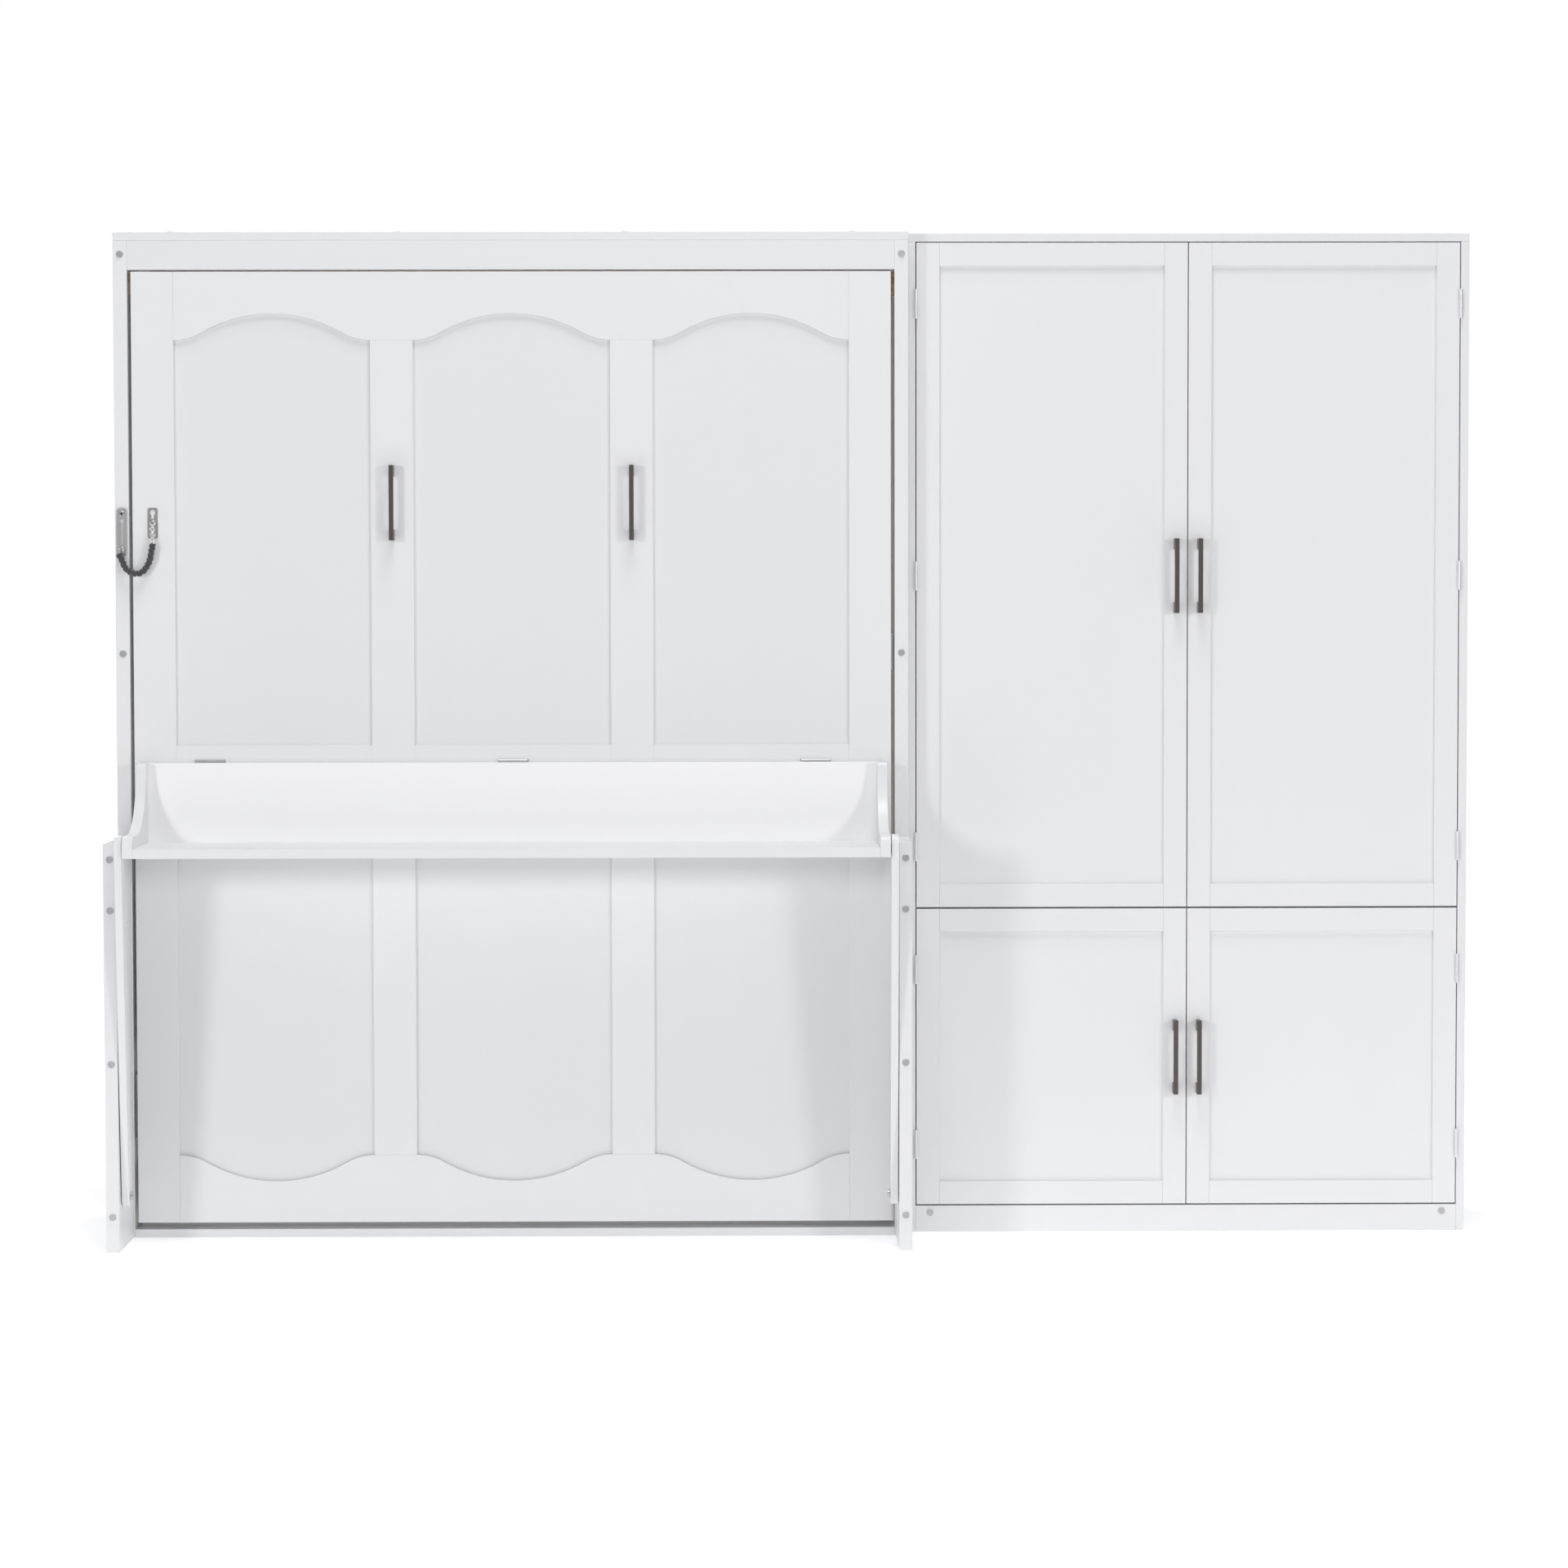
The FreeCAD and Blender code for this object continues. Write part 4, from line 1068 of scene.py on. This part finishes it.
    def sleeve(self) -> bpy.types.Object:
        """A soft creased tube, open at both ends, with a UV map that runs along it.

        Returns:
            The finished sleeve.
        """
        points = self.spline_points(self.route())
        rings, along = self.rings(points)
        vertices = [place for ring in rings for place in ring]
        faces = []
        for ring in range(len(rings) - 1):
            for step in range(self.around):
                after = (step + 1) % self.around
                faces.append((ring * self.around + step, ring * self.around + after,
                              (ring + 1) * self.around + after, (ring + 1) * self.around + step))
        faces.append(tuple(range(self.around)))
        faces.append(tuple((len(rings) - 1) * self.around + step for step in range(self.around)))
        mesh = bpy.data.meshes.new("chain_sleeve_piece")
        mesh.from_pydata(vertices, [], faces)
        layer = mesh.uv_layers.new(name="sleeve")
        around_length = 2 * math.pi * self.radius
        for face in mesh.polygons:
            steps = [mesh.loops[loop].vertex_index % self.around for loop in face.loop_indices]
            wraps = max(steps) - min(steps) > self.around / 2
            for loop, step in zip(face.loop_indices, steps):
                ring = mesh.loops[loop].vertex_index // self.around
                turn = step + self.around if wraps and step == 0 else step
                layer.data[loop].uv = (turn / self.around * around_length, along[ring])
        piece = new_object("chain_sleeve_piece", mesh)
        recalculate(piece)
        select_only(piece)
        bpy.ops.object.shade_smooth_by_angle(angle=math.radians(CRISP_ANGLE))
        self.palette.dress(piece, "braided_polyester_sleeve")
        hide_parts("chain_sleeve")
        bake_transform(piece)
        log.info("chain sleeve of %.1f mm", along[-1] / MM)
        return piece

    def links(self) -> None:
        """Round steel links from the holder's post down into the sleeve's mouth."""
        boxes = sorted(solid_boxes("chain_links"), key=lambda box: -box.centre.z)
        outer = boxes[0].size.z / 2
        deselect_all()
        bpy.ops.mesh.primitive_torus_add(location=(0, 0, 0), rotation=(math.radians(90), 0, 0),
                                         major_radius=outer - self.wire, minor_radius=self.wire,
                                         major_segments=40, minor_segments=14)
        model = leave(bpy.context.object)
        places = [box.centre for box in boxes]
        places.append(2 * places[-1] - places[-2])
        copies = []
        for number, place in enumerate(places):
            turn = Matrix.Rotation(math.radians(90 * (number % 2)), 4, "Z")
            copies.append(duplicate(model, f"link_{number + 1}", Matrix.Translation(place) @ turn))
        discard(model)
        piece = joined("chain_links_piece", copies)
        select_only(piece)
        bpy.ops.object.shade_smooth_by_angle(angle=math.radians(self.link_crisp))
        self.palette.dress(piece, "nickel_with_painted_reflection")
        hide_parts("chain_links")
        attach(piece, "bed")
        log.info("%d chain links", len(copies))

    def screw_heads(self) -> None:
        """Domed socket heads on the track's two screws and under the first link."""
        heads = [(box.size.x / 2, box.size.y, Vector((box.centre.x, box.high.y, box.centre.z)), "cabinet")
                 for box in solid_boxes("chain_track") if box.size.z < self.tallest_screw]
        plate = node_box("chain_holder")
        top_link = max(solid_boxes("chain_links"), key=lambda box: box.centre.z).centre
        post = Vector((plate.centre.x, plate.high.y - self.plate, top_link.z + self.hang))
        heads.append((self.boss, self.boss_rise, post, "bed"))
        for number, (radius, height, place, body) in enumerate(heads, start=1):
            bolt = SocketBolts(self.palette, radius=radius + self.head_spread, rim=self.head_rim,
                               height=height + self.head_rise, socket=self.socket_share * radius,
                               socket_depth=self.socket_sink * height)
            model = bolt.model()
            model.data.transform(Matrix.Translation(place))
            model.name = model.data.name = f"chain_screw_{number}"
            self.palette.dress(model, "nickel_with_painted_reflection")
            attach(model, body)
            log.info("chain screw on %s", body)

    def build(self) -> None:
        """Builds the sleeve, its links, its holder, its track and its stud."""
        self.sleeve()
        self.links()
        self.joinery.metalwork("bed", {"chain_holder": "nickel_with_painted_reflection"})
        self.joinery.metalwork("cabinet", {"chain_track": "zinc_plated_steel"})
        self.joinery.metalwork("chain_stud", {"chain_stud": "nickel_with_painted_reflection"})
        self.screw_heads()


# ---------------------------------------------------------------- hinges, pivots and struts
@dataclass
class Ironwork:
    """Butt hinges, pivots, the hanging rod and the gas struts."""

    joinery: Joinery

    def build(self) -> None:
        """Carries each metal node with its finish."""
        self.joinery.metalwork("cabinet", {"case_hinge_leaves": "near_white_hinge_metal",
                                           "pivot_plates": "zinc_plated_steel",
                                           "hanging_rod": "ground_chrome_rod"})
        self.joinery.metalwork("bed", {"desk_hinge_fixed_leaves": "zinc_plated_steel",
                                       "pivot_hubs": "zinc_plated_steel"})
        self.joinery.metalwork("desk", {"desk_hardware": "zinc_plated_steel"})
        for door in DOORS:
            self.joinery.metalwork(f"{door}_door", {f"{door}_hinge_leaves": "near_white_hinge_metal"})
        for side in ("left", "right"):
            for half, finish in (("cylinder", "black_enamelled_tube"), ("rod", "ground_chrome_rod")):
                self.joinery.metalwork(f"{side}_strut_{half}", {f"{side}_strut_{half}": finish})


# ---------------------------------------------------------------- camera, lights and floor
@dataclass(frozen=True)
class Softbox:
    """A square soft light: where it stands, what it faces, its side in metres and its power in watts."""

    name: str
    place: tuple[float, float, float]
    target: tuple[float, float, float]
    size: float
    watts: float

    def hang(self) -> None:
        """Puts the light up."""
        data = bpy.data.lights.new(self.name, "AREA")
        data.shape = "SQUARE"
        data.size = self.size
        data.energy = self.watts
        lamp = new_object(self.name, data)
        lamp.location = self.place
        way = Vector(self.target) - Vector(self.place)
        lamp.rotation_euler = way.to_track_quat("-Z", "Y").to_euler()


@dataclass
class Studio:
    """A pale floor, soft lights in front, above and behind, a white surround, and the camera."""

    palette: Palette
    camera_place: Vector = field(default_factory=lambda: Vector((-0.1143, -9.083, 1.4055)))
    pitch: float = 0.04518
    yaw: float = 0.0100
    roll: float = -0.00168
    lens: float = 94.36
    sensor: float = 36.0
    fill: float = 0.22
    floor_size: float = 10.0
    floor_drop: float = 0.5 * MM
    softboxes: tuple[Softbox, ...] = (
        Softbox("left_softbox", (-5.2, -6.3, 2.2), (0, 0, 1.1), 1.0, 118),
        Softbox("right_softbox", (5.2, -6.3, 2.2), (0, 0, 1.1), 1.0, 112),
        Softbox("front_softbox", (0.4, -9.6, 3.0), (0, 0, 1.1), 2.4, 40),
        Softbox("top_softbox", (0, -1.8, 7.0), (0, 0, 0.9), 2.4, 200),
        # the two behind brighten the far floor, which is otherwise darker than the near floor
        Softbox("rear_softbox_1", (-3.4, 4.2, 5.2), (-2.6, 3.0, 0), 3.2, 150),
        Softbox("rear_softbox_3", (3.4, 4.2, 5.2), (2.6, 3.0, 0), 3.2, 150),
    )

    def camera(self) -> None:
        """The camera, a little above the middle, looking slightly down."""
        data = bpy.data.cameras.new("studio_camera")
        data.lens = self.lens
        data.sensor_width = self.sensor
        data.clip_end = 100
        camera = new_object("studio_camera", data)
        turn = Matrix.Rotation(-self.yaw, 4, "Z") @ Matrix.Rotation(math.pi / 2 - self.pitch, 4, "X")
        camera.matrix_world = (Matrix.Translation(self.camera_place) @ turn
                               @ Matrix.Rotation(self.roll, 4, "Z"))
        bpy.context.scene.camera = camera

    def air(self) -> None:
        """A dim even light from all round, which the camera itself sees as plain white."""
        world = bpy.data.worlds.new("studio_air")
        bpy.context.scene.world = world
        world.use_nodes = True
        tree = world.node_tree
        tree.nodes.clear()
        rays = add_node(tree, "ShaderNodeLightPath")
        strength = add_node(tree, "ShaderNodeMapRange", {"To Min": self.fill, "To Max": 1.0},
                            {"Value": rays.outputs["Is Camera Ray"]})
        sky = add_node(tree, "ShaderNodeBackground", {"Color": (1, 1, 1, 1)},
                       {"Strength": strength.outputs["Result"]})
        add_node(tree, "ShaderNodeOutputWorld", links={"Surface": sky.outputs["Background"]})
        bpy.context.scene.view_settings.view_transform = "Standard"

    def build(self) -> None:
        """Sets up the floor, the lights, the air and the camera."""
        deselect_all()
        bpy.ops.mesh.primitive_plane_add(size=self.floor_size, location=(0, 0, -self.floor_drop))
        floor = leave(bpy.context.object)
        floor.name = "floor"
        self.palette.dress(floor, "studio_paper")
        for softbox in self.softboxes:
            softbox.hang()
        self.air()
        self.camera()


def main() -> None:
    """Builds the studio, the door chain, the cabinet, door, desk and wardrobe, and then the metalwork."""
    logging.basicConfig(level=logging.INFO, format="%(name)s: %(message)s")
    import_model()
    palette = Palette()
    Studio(palette).build()
    joinery = Joinery(palette)
    DoorChain(palette, joinery).build()
    BedCabinet(joinery).build()
    BedDoor(joinery).build()
    Desk(joinery).build()
    Wardrobe(joinery).build()
    BowHandles(palette).build()
    SocketBolts(palette).build()
    Ironwork(joinery).build()
    deselect_all()


if __name__ == "__main__":
    main()
